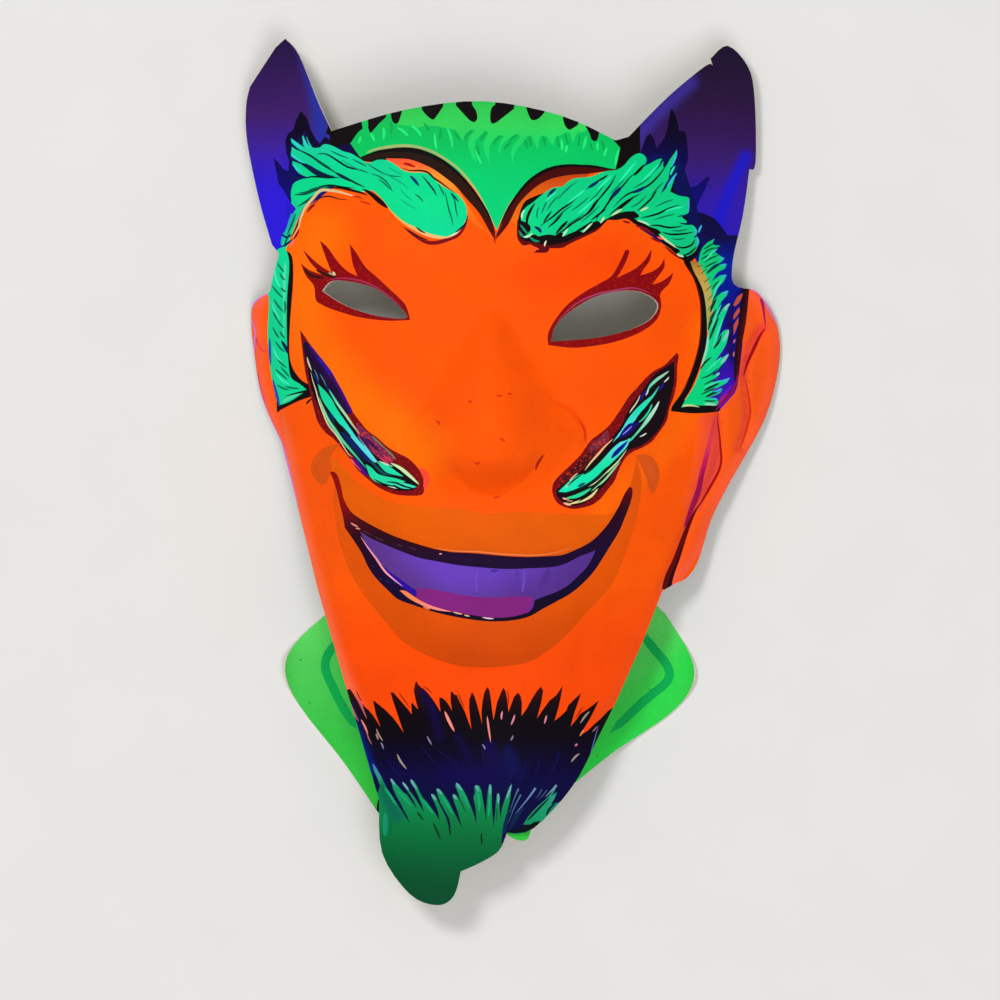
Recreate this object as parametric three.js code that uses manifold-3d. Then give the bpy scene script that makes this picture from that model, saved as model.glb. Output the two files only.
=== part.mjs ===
// Party mask of a grinning devil, die-cut from thin printed card and pressed into relief.
// It lies face up: X to the right of the face, Y towards the horns, Z up out of the face.
// All sizes are millimetres, and the origin is below the middle of the whole mask.
// Two pieces of card: the face, cut in one with its horns, ears, hair and beard, and the
// collar behind the chin. The beard has a dart: a slit whose right flap is tucked under
// the left lobe, which is what bends the chin.
import * as THREE from "three";
import { mergeVertices } from "three/addons/utils/BufferGeometryUtils.js";
import Module from "manifold-3d";

// The card
const CARD_THICKNESS = 0.8;
const GLUE_GAP = 0.3;
const FACE_GRID = 4.4;
const COLLAR_GRID = 5;
const GRID_MARGIN = 6;
const CURVE_STEPS = 3;
const SLOPE_STEP = 0.05;
const CUTTER_BOTTOM = -40;
const CUTTER_TOP = 120;
const MERGE_TOLERANCE = 1e-4;

// The bow of the face card, in sections across it from the horn tips to the beard tip.
// Each row: Y, crest height, then half width and edge height on the left and on the right.
const FACE_MIDDLE_X = -7;
const CREST_COLUMN = 1;
const LEFT_SIDE = { halfColumn: 2, edgeColumn: 3, roundness: 2.6 };
const RIGHT_SIDE = { halfColumn: 4, edgeColumn: 5, roundness: 2.05 };
const SECTIONS = [
  [135, 21, 74, 4.5, 80, 6],
  [100, 29, 74, 3.5, 80.5, 4.5],
  [70, 34.5, 71, 2.5, 81, 3.5],
  [45, 37, 72.5, 1, 87.8, 1.2],
  [20, 38, 69, 1.2, 85, 1.6],
  [0, 38.3, 61, 4.5, 75, 4],
  [-20, 37.8, 56, 9, 66, 6],
  [-36, 36.8, 51.5, 12.5, 58, 10],
  [-60, 33.5, 44.5, 14.5, 45, 13.5],
  [-85, 27, 37.5, 15, 33, 14],
  [-105, 22, 34, 15, 28, 14],
  [-135, 18, 30, 15, 28, 14],
];

// The nose, pressed out between the eyes and the lip
const NOSE_TOP_Y = 49;
const NOSE_BASE_Y = -9;
const NOSE_HEIGHT = 13.5;
const NOSE_TIP_AT = 0.76;
const NOSE_HALF_WIDTH = [4, 29, 17];
const NOSE_WIDEST_AT = 0.66;

// The lips, pressed out on both sides of a smiling line
const SMILE_LOWEST_Y = -34;
const SMILE_RISE_PER_MM2 = 0.0156;
const SMILE_HALF_WIDTH = 47;
const UPPER_LIP_ABOVE = 16;
const LOWER_LIP_BELOW = 16;
const LIP_HALF_HEIGHT = 7;
const LIP_RELIEF = 1.6;

// The brows, each a low ridge from its rounded end to its tuft
const BROW_RELIEF = 1.8;
const BROW_HALF_WIDTH = 8;
const BROWS = [
  [
    [-19, 78],
    [-56, 93],
  ],
  [
    [10, 75],
    [46, 91],
  ],
];

// The dart in the beard: its apex, the slit, and how far the flap slides under the lobe
const DART_APEX = [0.45, -82];
const SLIT_LEAN = THREE.MathUtils.degToRad(-5.3);
const SLIT_HALF_WIDTH = 0.2;
const DART_CLOSING = THREE.MathUtils.degToRad(14);
const DART_REACH = Math.PI / 2;
const DART_CLOSES_FROM = 9;
const DART_CLOSES_BY = 20;
const FLAP_DROP = 2.2;
const FLAP_DROPS_BY = 12;

// The outline of the face card, feature by feature, anticlockwise from the crown.
// A curve runs smoothly through its points; a line joins corners.
const CROWN = [
  [30.5, 99],
  [14, 106.4],
  [-9, 110.6],
  [-32, 108.2],
  [-54.5, 101.9],
];
const LEFT_HORN_INSIDE = [
  [-58.5, 110.5],
  [-64.4, 125],
  [-68.6, 130],
];
const LEFT_HORN_TIP_SIDE = [
  [-71.5, 127.4],
  [-79.3, 115.8],
];
const LEFT_HORN_OUTSIDE = [
  [-80.5, 110],
  [-80.2, 99.5],
  [-76.6, 82],
  [-72.6, 68.2],
];
const LEFT_TEMPLE = [
  [-70.4, 65.5],
  [-72.2, 59],
  [-73.2, 54.2],
];
const LEFT_EAR = [
  [-78.2, 50.9],
  [-79, 45],
  [-78.2, 36.5],
  [-75.8, 22.4],
  [-69.8, 8.6],
];
const LEFT_JAW = [
  [-66.2, -5.3],
  [-58.7, -35.6],
  [-49.1, -68.6],
  [-40.3, -98.6],
];
const LOBE_TIP = [
  [-39.4, -114.5],
  [-31.1, -126.7],
  [-22.9, -130],
  [-17.9, -127.2],
  [-15.8, -119.8],
];
const LOBE_STEP = [
  [-10, -117.2],
  [-4.4, -113.6],
  [-2, -108.2],
];
const FLAP_END = [
  [3.5, -108.2],
  [12.8, -100.4],
  [19.6, -91.5],
];
const RIGHT_JAW = [
  [30.5, -69.5],
  [38.9, -50.6],
  [44.6, -35.9],
];
const RIGHT_EAR_LOBE = [[48.2, -33.8]];
const RIGHT_EAR = [
  [52, -32],
  [55, -28],
  [57.2, -21.8],
  [59.6, -14.2],
  [64.8, -3.8],
  [75.8, 16.1],
  [80.1, 32.9],
  [79.4, 44.3],
  [74.9, 52.4],
  [72.2, 54.8],
];
const RIGHT_TEMPLE = [
  [66.2, 56.3],
  [66, 64],
  [69, 77],
  [71, 91],
];
const RIGHT_HORN_OUTSIDE = [
  [72.9, 93],
  [72.6, 112],
  [70.6, 121.7],
  [64.4, 128],
  [59.2, 124],
];
const RIGHT_HORN_NICK = [59.8, 122];
const RIGHT_HORN_INSIDE = [
  [57.5, 121.7],
  [46.4, 112.4],
  [34.4, 100.1],
];

// The eye holes, cut right through
const LEFT_EYE = [
  [-57.3, 54],
  [-54, 57],
  [-45.4, 56],
  [-38.5, 52.9],
  [-31.5, 46],
  [-40, 46.2],
  [-50, 49.4],
];
const RIGHT_EYE = [
  [11, 38.6],
  [13.5, 44.8],
  [24, 52],
  [36, 54],
  [43.2, 50.2],
  [39.5, 44.4],
  [27, 40.2],
];

// The collar card: flat wings, curled at the tips, rising to a crest glued behind the chin
const WING_FLAT_FROM = 48;
const WING_CURLS_FROM = 57;
const WING_CURL_RADIUS = 7;
const GLUE_POINT = [6, -100];
const COLLAR_OUTSIDE = [
  [-51, -39],
  [-56.3, -42.8],
  [-66, -52],
  [-68.8, -60],
  [-64.5, -70.5],
  [-51.2, -87.5],
  [-41.3, -101.9],
];
const COLLAR_FOOT = [
  [-32, -109.5],
  [-16, -110.8],
  [-5, -107.8],
  [0.8, -110.4],
  [4.4, -110],
  [6, -103.5],
];
const COLLAR_RIGHT = [
  [23.2, -89.9],
  [31, -83.9],
  [46.7, -73.4],
  [53.6, -65],
  [53.6, -56],
  [46, -43.2],
];
const NECKLINE = [
  [38, -35.6],
  [26, -50.6],
  [9.5, -65.6],
  [-7, -70],
  [-25, -65.6],
  [-40, -52],
];

const ORANGE_INK = 0xff5a0a;
const GREEN_INK = 0x43cf4e;
const CARD_ROUGHNESS = 0.62;

const wasm = await Module();
wasm.setup();

const vector = ([x, y]) => new THREE.Vector2(x, y);
const smooth = (t) => THREE.MathUtils.smoothstep(t, 0, 1);

// Value of one column of the sections at y, on a smooth curve through all of them.
function section(column, y) {
  const last = SECTIONS.length - 1;
  let i = 0;
  while (i < last - 1 && y < SECTIONS[i + 1][0]) i += 1;
  const row = (k) => SECTIONS[THREE.MathUtils.clamp(k, 0, last)];
  const slope = (k) => {
    const run = row(k + 1)[0] - row(k - 1)[0];
    return (row(k + 1)[column] - row(k - 1)[column]) / run;
  };
  const span = row(i + 1)[0] - row(i)[0];
  const t = THREE.MathUtils.clamp((y - row(i)[0]) / span, 0, 1);
  const a = row(i)[column];
  const b = row(i + 1)[column];
  const ease = t * t * (3 - 2 * t);
  const leave = t * (1 - t) * (1 - t) * span * slope(i);
  const arrive = t * t * (t - 1) * span * slope(i + 1);
  return a + (b - a) * ease + leave + arrive;
}

// Height of the bowed card before its features are pressed.
function bowHeight(x, y) {
  const across = x - FACE_MIDDLE_X;
  const side = across < 0 ? LEFT_SIDE : RIGHT_SIDE;
  const crest = section(CREST_COLUMN, y);
  const half = section(side.halfColumn, y);
  const edge = section(side.edgeColumn, y);
  return crest - (crest - edge) * (Math.abs(across) / half) ** side.roundness;
}

// The nose widens from the bridge to its wings and drops under the tip.
function noseHeight(x, y) {
  const along = (NOSE_TOP_Y - y) / (NOSE_TOP_Y - NOSE_BASE_Y);
  if (along <= 0 || along >= 1) return 0;
  const [top, wings, base] = NOSE_HALF_WIDTH;
  const half =
    along < NOSE_WIDEST_AT
      ? THREE.MathUtils.lerp(top, wings, along / NOSE_WIDEST_AT)
      : THREE.MathUtils.lerp(wings, base, (along - NOSE_WIDEST_AT) / (1 - NOSE_WIDEST_AT));
  const aside = Math.abs(x - FACE_MIDDLE_X) / half;
  if (aside >= 1) return 0;
  const ridge =
    along < NOSE_TIP_AT
      ? Math.sin((along / NOSE_TIP_AT) * (Math.PI / 2))
      : smooth((1 - along) / (1 - NOSE_TIP_AT));
  return NOSE_HEIGHT * ridge * smooth(1 - aside);
}

// Two ridges that follow the smile and fade out at its corners.
function lipHeight(x, y) {
  const across = x - FACE_MIDDLE_X;
  const fade = smooth(1 - Math.abs(across) / SMILE_HALF_WIDTH);
  const above = y - SMILE_LOWEST_Y - SMILE_RISE_PER_MM2 * across * across;
  const ridge = (middle) => Math.exp(-(((above - middle) / LIP_HALF_HEIGHT) ** 2));
  return LIP_RELIEF * fade * (ridge(UPPER_LIP_ABOVE) + ridge(-LOWER_LIP_BELOW));
}

function browHeight(x, y) {
  const point = new THREE.Vector3(x, y, 0);
  const away = BROWS.map(([from, to]) => {
    const spine = new THREE.Line3(new THREE.Vector3(...from, 0), new THREE.Vector3(...to, 0));
    return spine.closestPointToPoint(point, true, new THREE.Vector3()).distanceTo(point);
  });
  return BROW_RELIEF * Math.exp(-((Math.min(...away) / BROW_HALF_WIDTH) ** 2));
}

function faceHeight(x, y) {
  return bowHeight(x, y) + noseHeight(x, y) + lipHeight(x, y) + browHeight(x, y);
}

// Crest of the collar: under the flap of the beard, one glue gap below it.
const COLLAR_CREST =
  bowHeight(...GLUE_POINT) - FLAP_DROP - CARD_THICKNESS - GLUE_GAP;

// Height of the collar's upper side.
function collarHeight(x) {
  const across = Math.abs(x - FACE_MIDDLE_X);
  const rise = COLLAR_CREST - CARD_THICKNESS;
  const curl = Math.max(0, across - WING_CURLS_FROM);
  const lift = WING_CURL_RADIUS - Math.sqrt(WING_CURL_RADIUS ** 2 - Math.min(curl, WING_CURL_RADIUS) ** 2);
  return CARD_THICKNESS + rise * (1 - smooth(across / WING_FLAT_FROM)) + lift;
}

// A closed sheet over a square grid: its top follows height(x, y), and its underside
// lies one card thickness below, square to the slope.
function bentCard(shape, grid, height) {
  const box = new THREE.Box2().setFromPoints(shape.getPoints()).expandByScalar(GRID_MARGIN);
  const columns = Math.ceil((box.max.x - box.min.x) / grid);
  const rows = Math.ceil((box.max.y - box.min.y) / grid);
  const positions = [];
  for (const side of [0, 1]) {
    for (let j = 0; j <= rows; j += 1) {
      for (let i = 0; i <= columns; i += 1) {
        const x = box.min.x + i * grid;
        const y = box.min.y + j * grid;
        const slopeX = (height(x + SLOPE_STEP, y) - height(x - SLOPE_STEP, y)) / (2 * SLOPE_STEP);
        const slopeY = (height(x, y + SLOPE_STEP) - height(x, y - SLOPE_STEP)) / (2 * SLOPE_STEP);
        const inward = new THREE.Vector3(slopeX, slopeY, -1).setLength(side * CARD_THICKNESS);
        positions.push(x + inward.x, y + inward.y, height(x, y) + inward.z);
      }
    }
  }
  const under = (columns + 1) * (rows + 1);
  const at = (i, j) => j * (columns + 1) + i;
  const indices = [];
  const quad = (a, b, c, d) => indices.push(a, b, c, a, c, d);
  for (let j = 0; j < rows; j += 1) {
    for (let i = 0; i < columns; i += 1) {
      const corners = [at(i, j), at(i + 1, j), at(i + 1, j + 1), at(i, j + 1)];
      quad(...corners);
      quad(...corners.map((c) => c + under).reverse());
    }
  }
  const rim = [];
  for (let i = 0; i < columns; i += 1) rim.push(at(i, 0));
  for (let j = 0; j < rows; j += 1) rim.push(at(columns, j));
  for (let i = columns; i > 0; i -= 1) rim.push(at(i, rows));
  for (let j = rows; j > 0; j -= 1) rim.push(at(0, j));
  rim.forEach((a, k) => {
    const b = rim[(k + 1) % rim.length];
    quad(a, a + under, b + under, b);
  });
  const geometry = new THREE.BufferGeometry();
  geometry.setAttribute("position", new THREE.Float32BufferAttribute(positions, 3));
  geometry.setIndex(indices);
  return geometry;
}

// The die: an upright prism with the given outline.
function die(shape) {
  const options = {
    depth: CUTTER_TOP - CUTTER_BOTTOM,
    bevelEnabled: false,
    curveSegments: CURVE_STEPS,
  };
  return new THREE.ExtrudeGeometry(shape, options).translate(0, 0, CUTTER_BOTTOM);
}

function solidOf(geometry) {
  const bare = geometry.clone();
  bare.deleteAttribute("normal");
  bare.deleteAttribute("uv");
  const merged = mergeVertices(bare, MERGE_TOLERANCE);
  const vertProperties = new Float32Array(merged.getAttribute("position").array);
  const triVerts = new Uint32Array(merged.getIndex().array);
  return new wasm.Manifold(new wasm.Mesh({ numProp: 3, vertProperties, triVerts }));
}

function geometryOf(solid) {
  const { vertProperties, triVerts } = solid.getMesh();
  const geometry = new THREE.BufferGeometry();
  geometry.setAttribute("position", new THREE.BufferAttribute(vertProperties, 3));
  geometry.setIndex(new THREE.BufferAttribute(triVerts, 1));
  return geometry;
}

// Place of a point as seen from the dart's apex: distance, and angle from straight down.
function aroundApex([x, y]) {
  const right = x - DART_APEX[0];
  const down = DART_APEX[1] - y;
  return { radius: Math.hypot(right, down), angle: Math.atan2(right, down) };
}

function fromApex({ radius, angle }) {
  return [DART_APEX[0] + radius * Math.sin(angle), DART_APEX[1] - radius * Math.cos(angle)];
}

// How far the flap turns in under the lobe at a distance from the apex.
function closing(radius) {
  return DART_CLOSING * THREE.MathUtils.smoothstep(radius, DART_CLOSES_FROM, DART_CLOSES_BY);
}

// Where a point of the closed flap lies while the card is still open for cutting.
function opened(point) {
  const { radius, angle } = aroundApex(point);
  const share = closing(radius) / (DART_REACH - SLIT_LEAN);
  return fromApex({ radius, angle: (angle + share * DART_REACH) / (1 + share) });
}

// Closes the dart: the flap, right of the slit, turns under the lobe and drops behind it.
function closeDart(geometry) {
  const positions = geometry.getAttribute("position");
  for (let i = 0; i < positions.count; i += 1) {
    const polar = aroundApex([positions.getX(i), positions.getY(i)]);
    if (polar.angle <= SLIT_LEAN || polar.angle >= DART_REACH) continue;
    const share = (DART_REACH - polar.angle) / (DART_REACH - SLIT_LEAN);
    const turned = { radius: polar.radius, angle: polar.angle - closing(polar.radius) * share };
    const drop = FLAP_DROP * share * THREE.MathUtils.smoothstep(polar.radius, 0, FLAP_DROPS_BY);
    positions.setXYZ(i, ...fromApex(turned), positions.getZ(i) - drop);
  }
  return geometry;
}

function faceOutline() {
  const slitEnd = aroundApex(LOBE_STEP.at(-1));
  const beside = (point, side) => [point[0] + side * SLIT_HALF_WIDTH, point[1]];
  const flapCorner = fromApex({ radius: slitEnd.radius, angle: SLIT_LEAN });
  const shape = new THREE.Shape();
  const curve = (points) => shape.splineThru(points.map(vector));
  const line = (points) => points.forEach((point) => shape.lineTo(...point));
  shape.moveTo(...CROWN[0]);
  curve(CROWN.slice(1));
  curve(LEFT_HORN_INSIDE);
  line(LEFT_HORN_TIP_SIDE);
  curve(LEFT_HORN_OUTSIDE);
  line(LEFT_TEMPLE);
  curve(LEFT_EAR);
  line(LEFT_JAW);
  curve(LOBE_TIP);
  curve(LOBE_STEP);
  line([beside(DART_APEX, -1), beside(DART_APEX, 1), beside(flapCorner, 1)]);
  curve(FLAP_END.map(opened));
  line(RIGHT_JAW);
  line(RIGHT_EAR_LOBE);
  curve(RIGHT_EAR);
  curve(RIGHT_TEMPLE);
  curve(RIGHT_HORN_OUTSIDE);
  line([RIGHT_HORN_NICK]);
  curve(RIGHT_HORN_INSIDE);
  shape.closePath();
  return shape;
}

function ring(points) {
  const shape = new THREE.Shape();
  shape.moveTo(...points[0]);
  shape.splineThru([...points.slice(1), points[0]].map(vector));
  return shape;
}

function makeFace() {
  const outline = faceOutline();
  let card = solidOf(bentCard(outline, FACE_GRID, faceHeight)).intersect(solidOf(die(outline)));
  for (const eye of [LEFT_EYE, RIGHT_EYE]) card = card.subtract(solidOf(die(ring(eye))));
  return closeDart(geometryOf(card));
}

function makeCollar() {
  const shape = new THREE.Shape();
  shape.moveTo(...COLLAR_OUTSIDE[0]);
  shape.splineThru(COLLAR_OUTSIDE.slice(1).map(vector));
  shape.splineThru(COLLAR_FOOT.map(vector));
  shape.lineTo(...COLLAR_RIGHT[0]);
  shape.splineThru(COLLAR_RIGHT.slice(1).map(vector));
  shape.lineTo(...NECKLINE[0]);
  shape.splineThru(NECKLINE.slice(1).map(vector));
  shape.closePath();
  const card = solidOf(bentCard(shape, COLLAR_GRID, collarHeight)).intersect(solidOf(die(shape)));
  return geometryOf(card);
}

function piece(name, geometry, color) {
  geometry.computeVertexNormals();
  const material = new THREE.MeshStandardMaterial({ color, roughness: CARD_ROUGHNESS, metalness: 0 });
  const mesh = new THREE.Mesh(geometry, material);
  mesh.name = name;
  return mesh;
}

const mask = new THREE.Group();
mask.add(piece("face_card", makeFace(), ORANGE_INK));
mask.add(piece("collar_card", makeCollar(), GREEN_INK));

export default mask;
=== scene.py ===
import math

import bpy
import numpy as np
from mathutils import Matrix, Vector, kdtree
from mathutils.geometry import delaunay_2d_cdt


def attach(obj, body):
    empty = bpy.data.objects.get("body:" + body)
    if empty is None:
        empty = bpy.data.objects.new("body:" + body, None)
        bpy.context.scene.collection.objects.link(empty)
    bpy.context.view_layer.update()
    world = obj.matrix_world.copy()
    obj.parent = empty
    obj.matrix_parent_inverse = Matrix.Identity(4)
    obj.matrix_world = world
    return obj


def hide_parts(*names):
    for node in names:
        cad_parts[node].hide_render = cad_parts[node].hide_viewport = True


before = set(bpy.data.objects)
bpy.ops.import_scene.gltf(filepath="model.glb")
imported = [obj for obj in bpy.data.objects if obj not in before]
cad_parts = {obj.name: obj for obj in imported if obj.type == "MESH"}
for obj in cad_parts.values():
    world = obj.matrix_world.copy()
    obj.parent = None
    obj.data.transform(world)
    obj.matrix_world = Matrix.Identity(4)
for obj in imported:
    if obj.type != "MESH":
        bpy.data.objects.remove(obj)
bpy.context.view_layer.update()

# 1. The pressed form of the face
# One sheet of thin greyboard, pressed between warm forms after printing. It bows from ear to
# ear, and the nose, lips and brows stand out of it. Sizes here and below are millimetres.

MM = 0.001
CARD_THICKNESS = 0.8
FACE_MIDDLE_X = -7
SECTIONS = np.array([
    # Y, crest, then half width and edge height on the left and on the right
    [135, 21, 74, 4.5, 80, 6],
    [100, 29, 74, 3.5, 80.5, 4.5],
    [70, 34.5, 71, 2.5, 81, 3.5],
    [45, 37, 72.5, 1, 87.8, 1.2],
    [20, 38, 69, 1.2, 85, 1.6],
    [0, 38.3, 61, 4.5, 75, 4],
    [-20, 37.8, 56, 9, 66, 6],
    [-36, 36.8, 51.5, 12.5, 58, 10],
    [-60, 33.5, 44.5, 14.5, 45, 13.5],
    [-85, 27, 37.5, 15, 33, 14],
    [-105, 22, 34, 15, 28, 14],
    [-135, 18, 30, 15, 28, 14],
])
CREST, LEFT_HALF, LEFT_EDGE, RIGHT_HALF, RIGHT_EDGE = range(1, 6)
LEFT_ROUNDNESS, RIGHT_ROUNDNESS = 2.6, 2.05

NOSE_TOP_Y, NOSE_BASE_Y, NOSE_HEIGHT = 49, -9, 13.5
NOSE_TIP_AT, NOSE_WIDEST_AT = 0.76, 0.66
NOSE_HALF_WIDTH = 4, 29, 17
SMILE_LOWEST_Y, SMILE_RISE, SMILE_HALF_WIDTH = -34, 0.0156, 47
LIP_FROM_SMILE, LIP_HALF_HEIGHT, LIP_RELIEF = 16, 7, 1.6
BROW_RIDGES = ((-19, 78), (-56, 93)), ((10, 75), (46, 91))
BROW_HALF_WIDTH, BROW_RELIEF = 8, 1.8
SLOW_RIPPLE, FAST_RIPPLE = 0.09, 0.02
CREASE_STEPS, TINY = 3, 1e-9


def smooth(t):
    """Eases from 0 to 1."""
    t = np.clip(t, 0, 1)
    return t * t * (3 - 2 * t)


def section(column, y):
    """One column of the sections at y, on a smooth curve through them all."""
    level, value = SECTIONS[:, 0], SECTIONS[:, column]
    last = len(level) - 1
    rows = np.arange(last + 1)
    before, after = np.maximum(rows - 1, 0), np.minimum(rows + 1, last)
    slope = (value[after] - value[before]) / (level[after] - level[before])
    i = np.clip(np.searchsorted(-level, -y, side="right") - 1, 0, last - 1)
    span = level[i + 1] - level[i]
    t = np.clip((y - level[i]) / span, 0, 1)
    leave = t * (1 - t) ** 2 * span * slope[i]
    arrive = t * t * (t - 1) * span * slope[i + 1]
    return value[i] + (value[i + 1] - value[i]) * smooth(t) + leave + arrive


def bow(x, y):
    """The sheet before its features are pressed."""
    across = x - FACE_MIDDLE_X
    left = across < 0
    half = np.where(left, section(LEFT_HALF, y), section(RIGHT_HALF, y))
    edge = np.where(left, section(LEFT_EDGE, y), section(RIGHT_EDGE, y))
    roundness = np.where(left, LEFT_ROUNDNESS, RIGHT_ROUNDNESS)
    crest = section(CREST, y)
    return crest - (crest - edge) * (np.abs(across) / half) ** roundness


def nose(x, y):
    """It widens from the bridge to its wings and drops under the tip."""
    along = np.clip((NOSE_TOP_Y - y) / (NOSE_TOP_Y - NOSE_BASE_Y), 0, 1)
    half = np.interp(along, (0, NOSE_WIDEST_AT, 1), NOSE_HALF_WIDTH)
    rising = np.sin(np.minimum(along / NOSE_TIP_AT, 1) * math.pi / 2)
    ridge = np.where(along < NOSE_TIP_AT, rising, smooth((1 - along) / (1 - NOSE_TIP_AT)))
    return NOSE_HEIGHT * ridge * smooth(1 - np.abs(x - FACE_MIDDLE_X) / half)


def lips(x, y):
    """Two ridges that follow the smile and fade out at its corners."""
    across = x - FACE_MIDDLE_X
    above = y - SMILE_LOWEST_Y - SMILE_RISE * across * across
    sides = LIP_FROM_SMILE, -LIP_FROM_SMILE
    ridges = sum(np.exp(-(((above - side) / LIP_HALF_HEIGHT) ** 2)) for side in sides)
    return LIP_RELIEF * smooth(1 - np.abs(across) / SMILE_HALF_WIDTH) * ridges


def distance(x, y, line):
    """How far each place is from a bent line."""
    nearest = np.full(len(x), np.inf)
    for (x0, y0), (x1, y1) in zip(line[:-1], line[1:]):
        dx, dy = x1 - x0, y1 - y0
        t = np.clip(((x - x0) * dx + (y - y0) * dy) / max(dx * dx + dy * dy, TINY), 0, 1)
        nearest = np.minimum(nearest, np.hypot(x - x0 - t * dx, y - y0 - t * dy))
    return nearest


def brows(x, y):
    """A soft ridge under each brow."""
    away = np.minimum(*[distance(x, y, ridge) for ridge in BROW_RIDGES])
    return BROW_RELIEF * np.exp(-((away / BROW_HALF_WIDTH) ** 2))


def at(*numbers):
    """Places on the sheet, from x, y, x, y and so on."""
    return list(zip(numbers[::2], numbers[1::2]))


def run(points, steps=4):
    """Places on a smooth curve through the points. Two points give a straight line."""
    if len(points) == 2:
        return np.array(points, float)
    p = np.array([points[0], *points, points[-1]], float)
    t = np.linspace(0, 1, steps, endpoint=False)[:, None]
    pieces = []
    for a, b, c, d in zip(p[:-3], p[1:-2], p[2:-1], p[3:]):
        leave, arrive = (c - a) / 2, (d - b) / 2
        cubic = (2 * b - 2 * c + leave + arrive) * t**3
        square = (3 * c - 3 * b - 2 * leave - arrive) * t**2
        pieces.append(cubic + square + leave * t + b)
    return np.concatenate([*pieces, p[-1:]])


# Fine creases and ridges of the pressing: line, half width, and height above the sheet
CREASES = [
    # Right ear: the fold beside the face, the hollow inside, and the rolled rim
    (at(61.6, 17.8, 62.2, 9.4, 61.6, 2.9, 57.1, -7, 52.9, -14.8, 49.4, -23.6, 45.1, -35.5), 1.6, -1.5),
    (at(74, 42.4, 71.2, 35.9, 69.8, 28.9, 70.3, 21.4, 70.3, 13.9, 68.2, 6.5), 1.3, -0.9),
    (at(73, 53.5, 75.8, 47.9, 77.8, 40.9, 78.5, 33.4, 77, 22.9, 73.3, 12.4, 68.5, 2.9,
        62.5, -8.5), 1.9, 0.8),
    # Left ear: its fold and rim
    (at(-73.6, 52.6, -74.2, 42.4, -73.6, 30.4, -71.5, 18.4, -68.8, 9.4), 1.6, -0.7),
    (at(-75.5, 52.4, -77.2, 46.9, -77, 36.4, -75.1, 24.4, -72.5, 15.4), 1.4, 0.5),
    # Nose: wings, the line under the tip, and the bends of the bridge
    (at(12.2, 20.8, 17.8, 17.8, 21.8, 11.8, 21.1, 7.3), 1.1, -0.7),
    (at(-24.4, 20.8, -29.8, 17.2, -33.4, 11.8, -32.9, 7.3), 1.1, -0.5),
    (at(8.2, 4, 4, -0.8, -1.6, -5, -5.2, -7.9, -11.8, -6.1, -17.2, -0.8), 1.4, -0.7),
    (at(-8.5, 48.4, -14.8, 45.4, -22.6, 37.6), 0.7, -0.12),
    (at(-8.5, 48.4, -3.4, 45.8, 5, 40.6, 13, 34.4), 0.7, -0.12),
    # Mouth: the line between the lips, and the dimples at the curls
    (at(-50.5, -10, -38.5, -19.1, -22.1, -24.1, -4, -25.9, 13.9, -25.3, 25.9, -20.6,
        32.5, -12.2), 1.6, -0.6),
    (at(-58, 5.8, -59.8, 2.9, -59.2, -0.8), 1.8, -0.5),
    (at(42.4, 4, 43.6, 0.4, 42.4, -4.3), 1.8, -0.5),
    # Cheeks, chin and jaw: soft dents from handling
    (at(17.2, -68.5, 19.9, -56.5, 23.6, -44.5), 3.2, -0.35),
    (at(-44.5, -50.5, -42.4, -59.5, -40, -66.1), 3.0, -0.3),
    (at(22.9, -74.5, 29.5, -65.5, 35.5, -53.5), 2.0, 0.25),
    (at(-22.1, -50.5, -10, -54.1, 1.9, -52.9), 5.0, 0.45),
]


def waviness(x, y):
    """The card never lies quite fair: ripples of about a tenth of a millimetre catch the light."""
    slow = np.sin(x / 7.3 + 1.3 * np.sin(y / 11.1)) * np.sin(y / 9.7 + 1.1 * np.sin(x / 13.9))
    fast = np.sin(x / 2.9 + y / 3.7) * np.sin(y / 3.1 - x / 4.3)
    return SLOW_RIPPLE * slow + FAST_RIPPLE * fast


def face_height(x, y):
    """The top of the pressed sheet above the floor."""
    height = bow(x, y) + nose(x, y) + lips(x, y) + brows(x, y) + waviness(x, y)
    for line, half_width, rise in CREASES:
        height += rise * np.exp(-((distance(x, y, run(line, CREASE_STEPS)) / half_width) ** 2))
    return height


# 2. The die-cut outline and the dart in the beard
# One steel-rule die cuts the outline and the eyes. The beard is slit up the middle, and its
# right flap is tucked and glued under the left lobe, which bends the chin forward.


def closed(*runs):
    """A closed outline of smooth runs. Each starts where the last one ended, with a corner there."""
    places = [run(runs[0])]
    for points in runs[1:]:
        places.append(run([places[-1][-1], *points])[1:])
    return np.concatenate(places)


# The slit starts below the dart's apex, and its lean and the flap's reach are angles from straight down
DART_APEX, SLIT_END = (0.45, -82), (-2, -108.2)
SLIT_LEAN, DART_REACH = math.radians(-5.3), math.pi / 2
SLIT_HALF_WIDTH, SLIT_STARTS_AT = 0.01, 8
# How far the flap turns in and drops, and the distances from the apex where it does so
DART_CLOSING, DART_CLOSES_FROM, DART_CLOSES_BY = math.radians(14), 9, 20
FLAP_DROP, FLAP_DROPS_BY = 2.2, 13


def around_apex(x, y):
    """Distance from the dart's apex, and angle from straight down."""
    right, down = x - DART_APEX[0], DART_APEX[1] - y
    return np.hypot(right, down), np.arctan2(right, down)


def from_apex(radius, angle):
    """The place at that distance and angle."""
    return DART_APEX[0] + radius * np.sin(angle), DART_APEX[1] - radius * np.cos(angle)


def closing(radius):
    """How far the flap turns in under the lobe."""
    return DART_CLOSING * smooth((radius - DART_CLOSES_FROM) / (DART_CLOSES_BY - DART_CLOSES_FROM))


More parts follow.
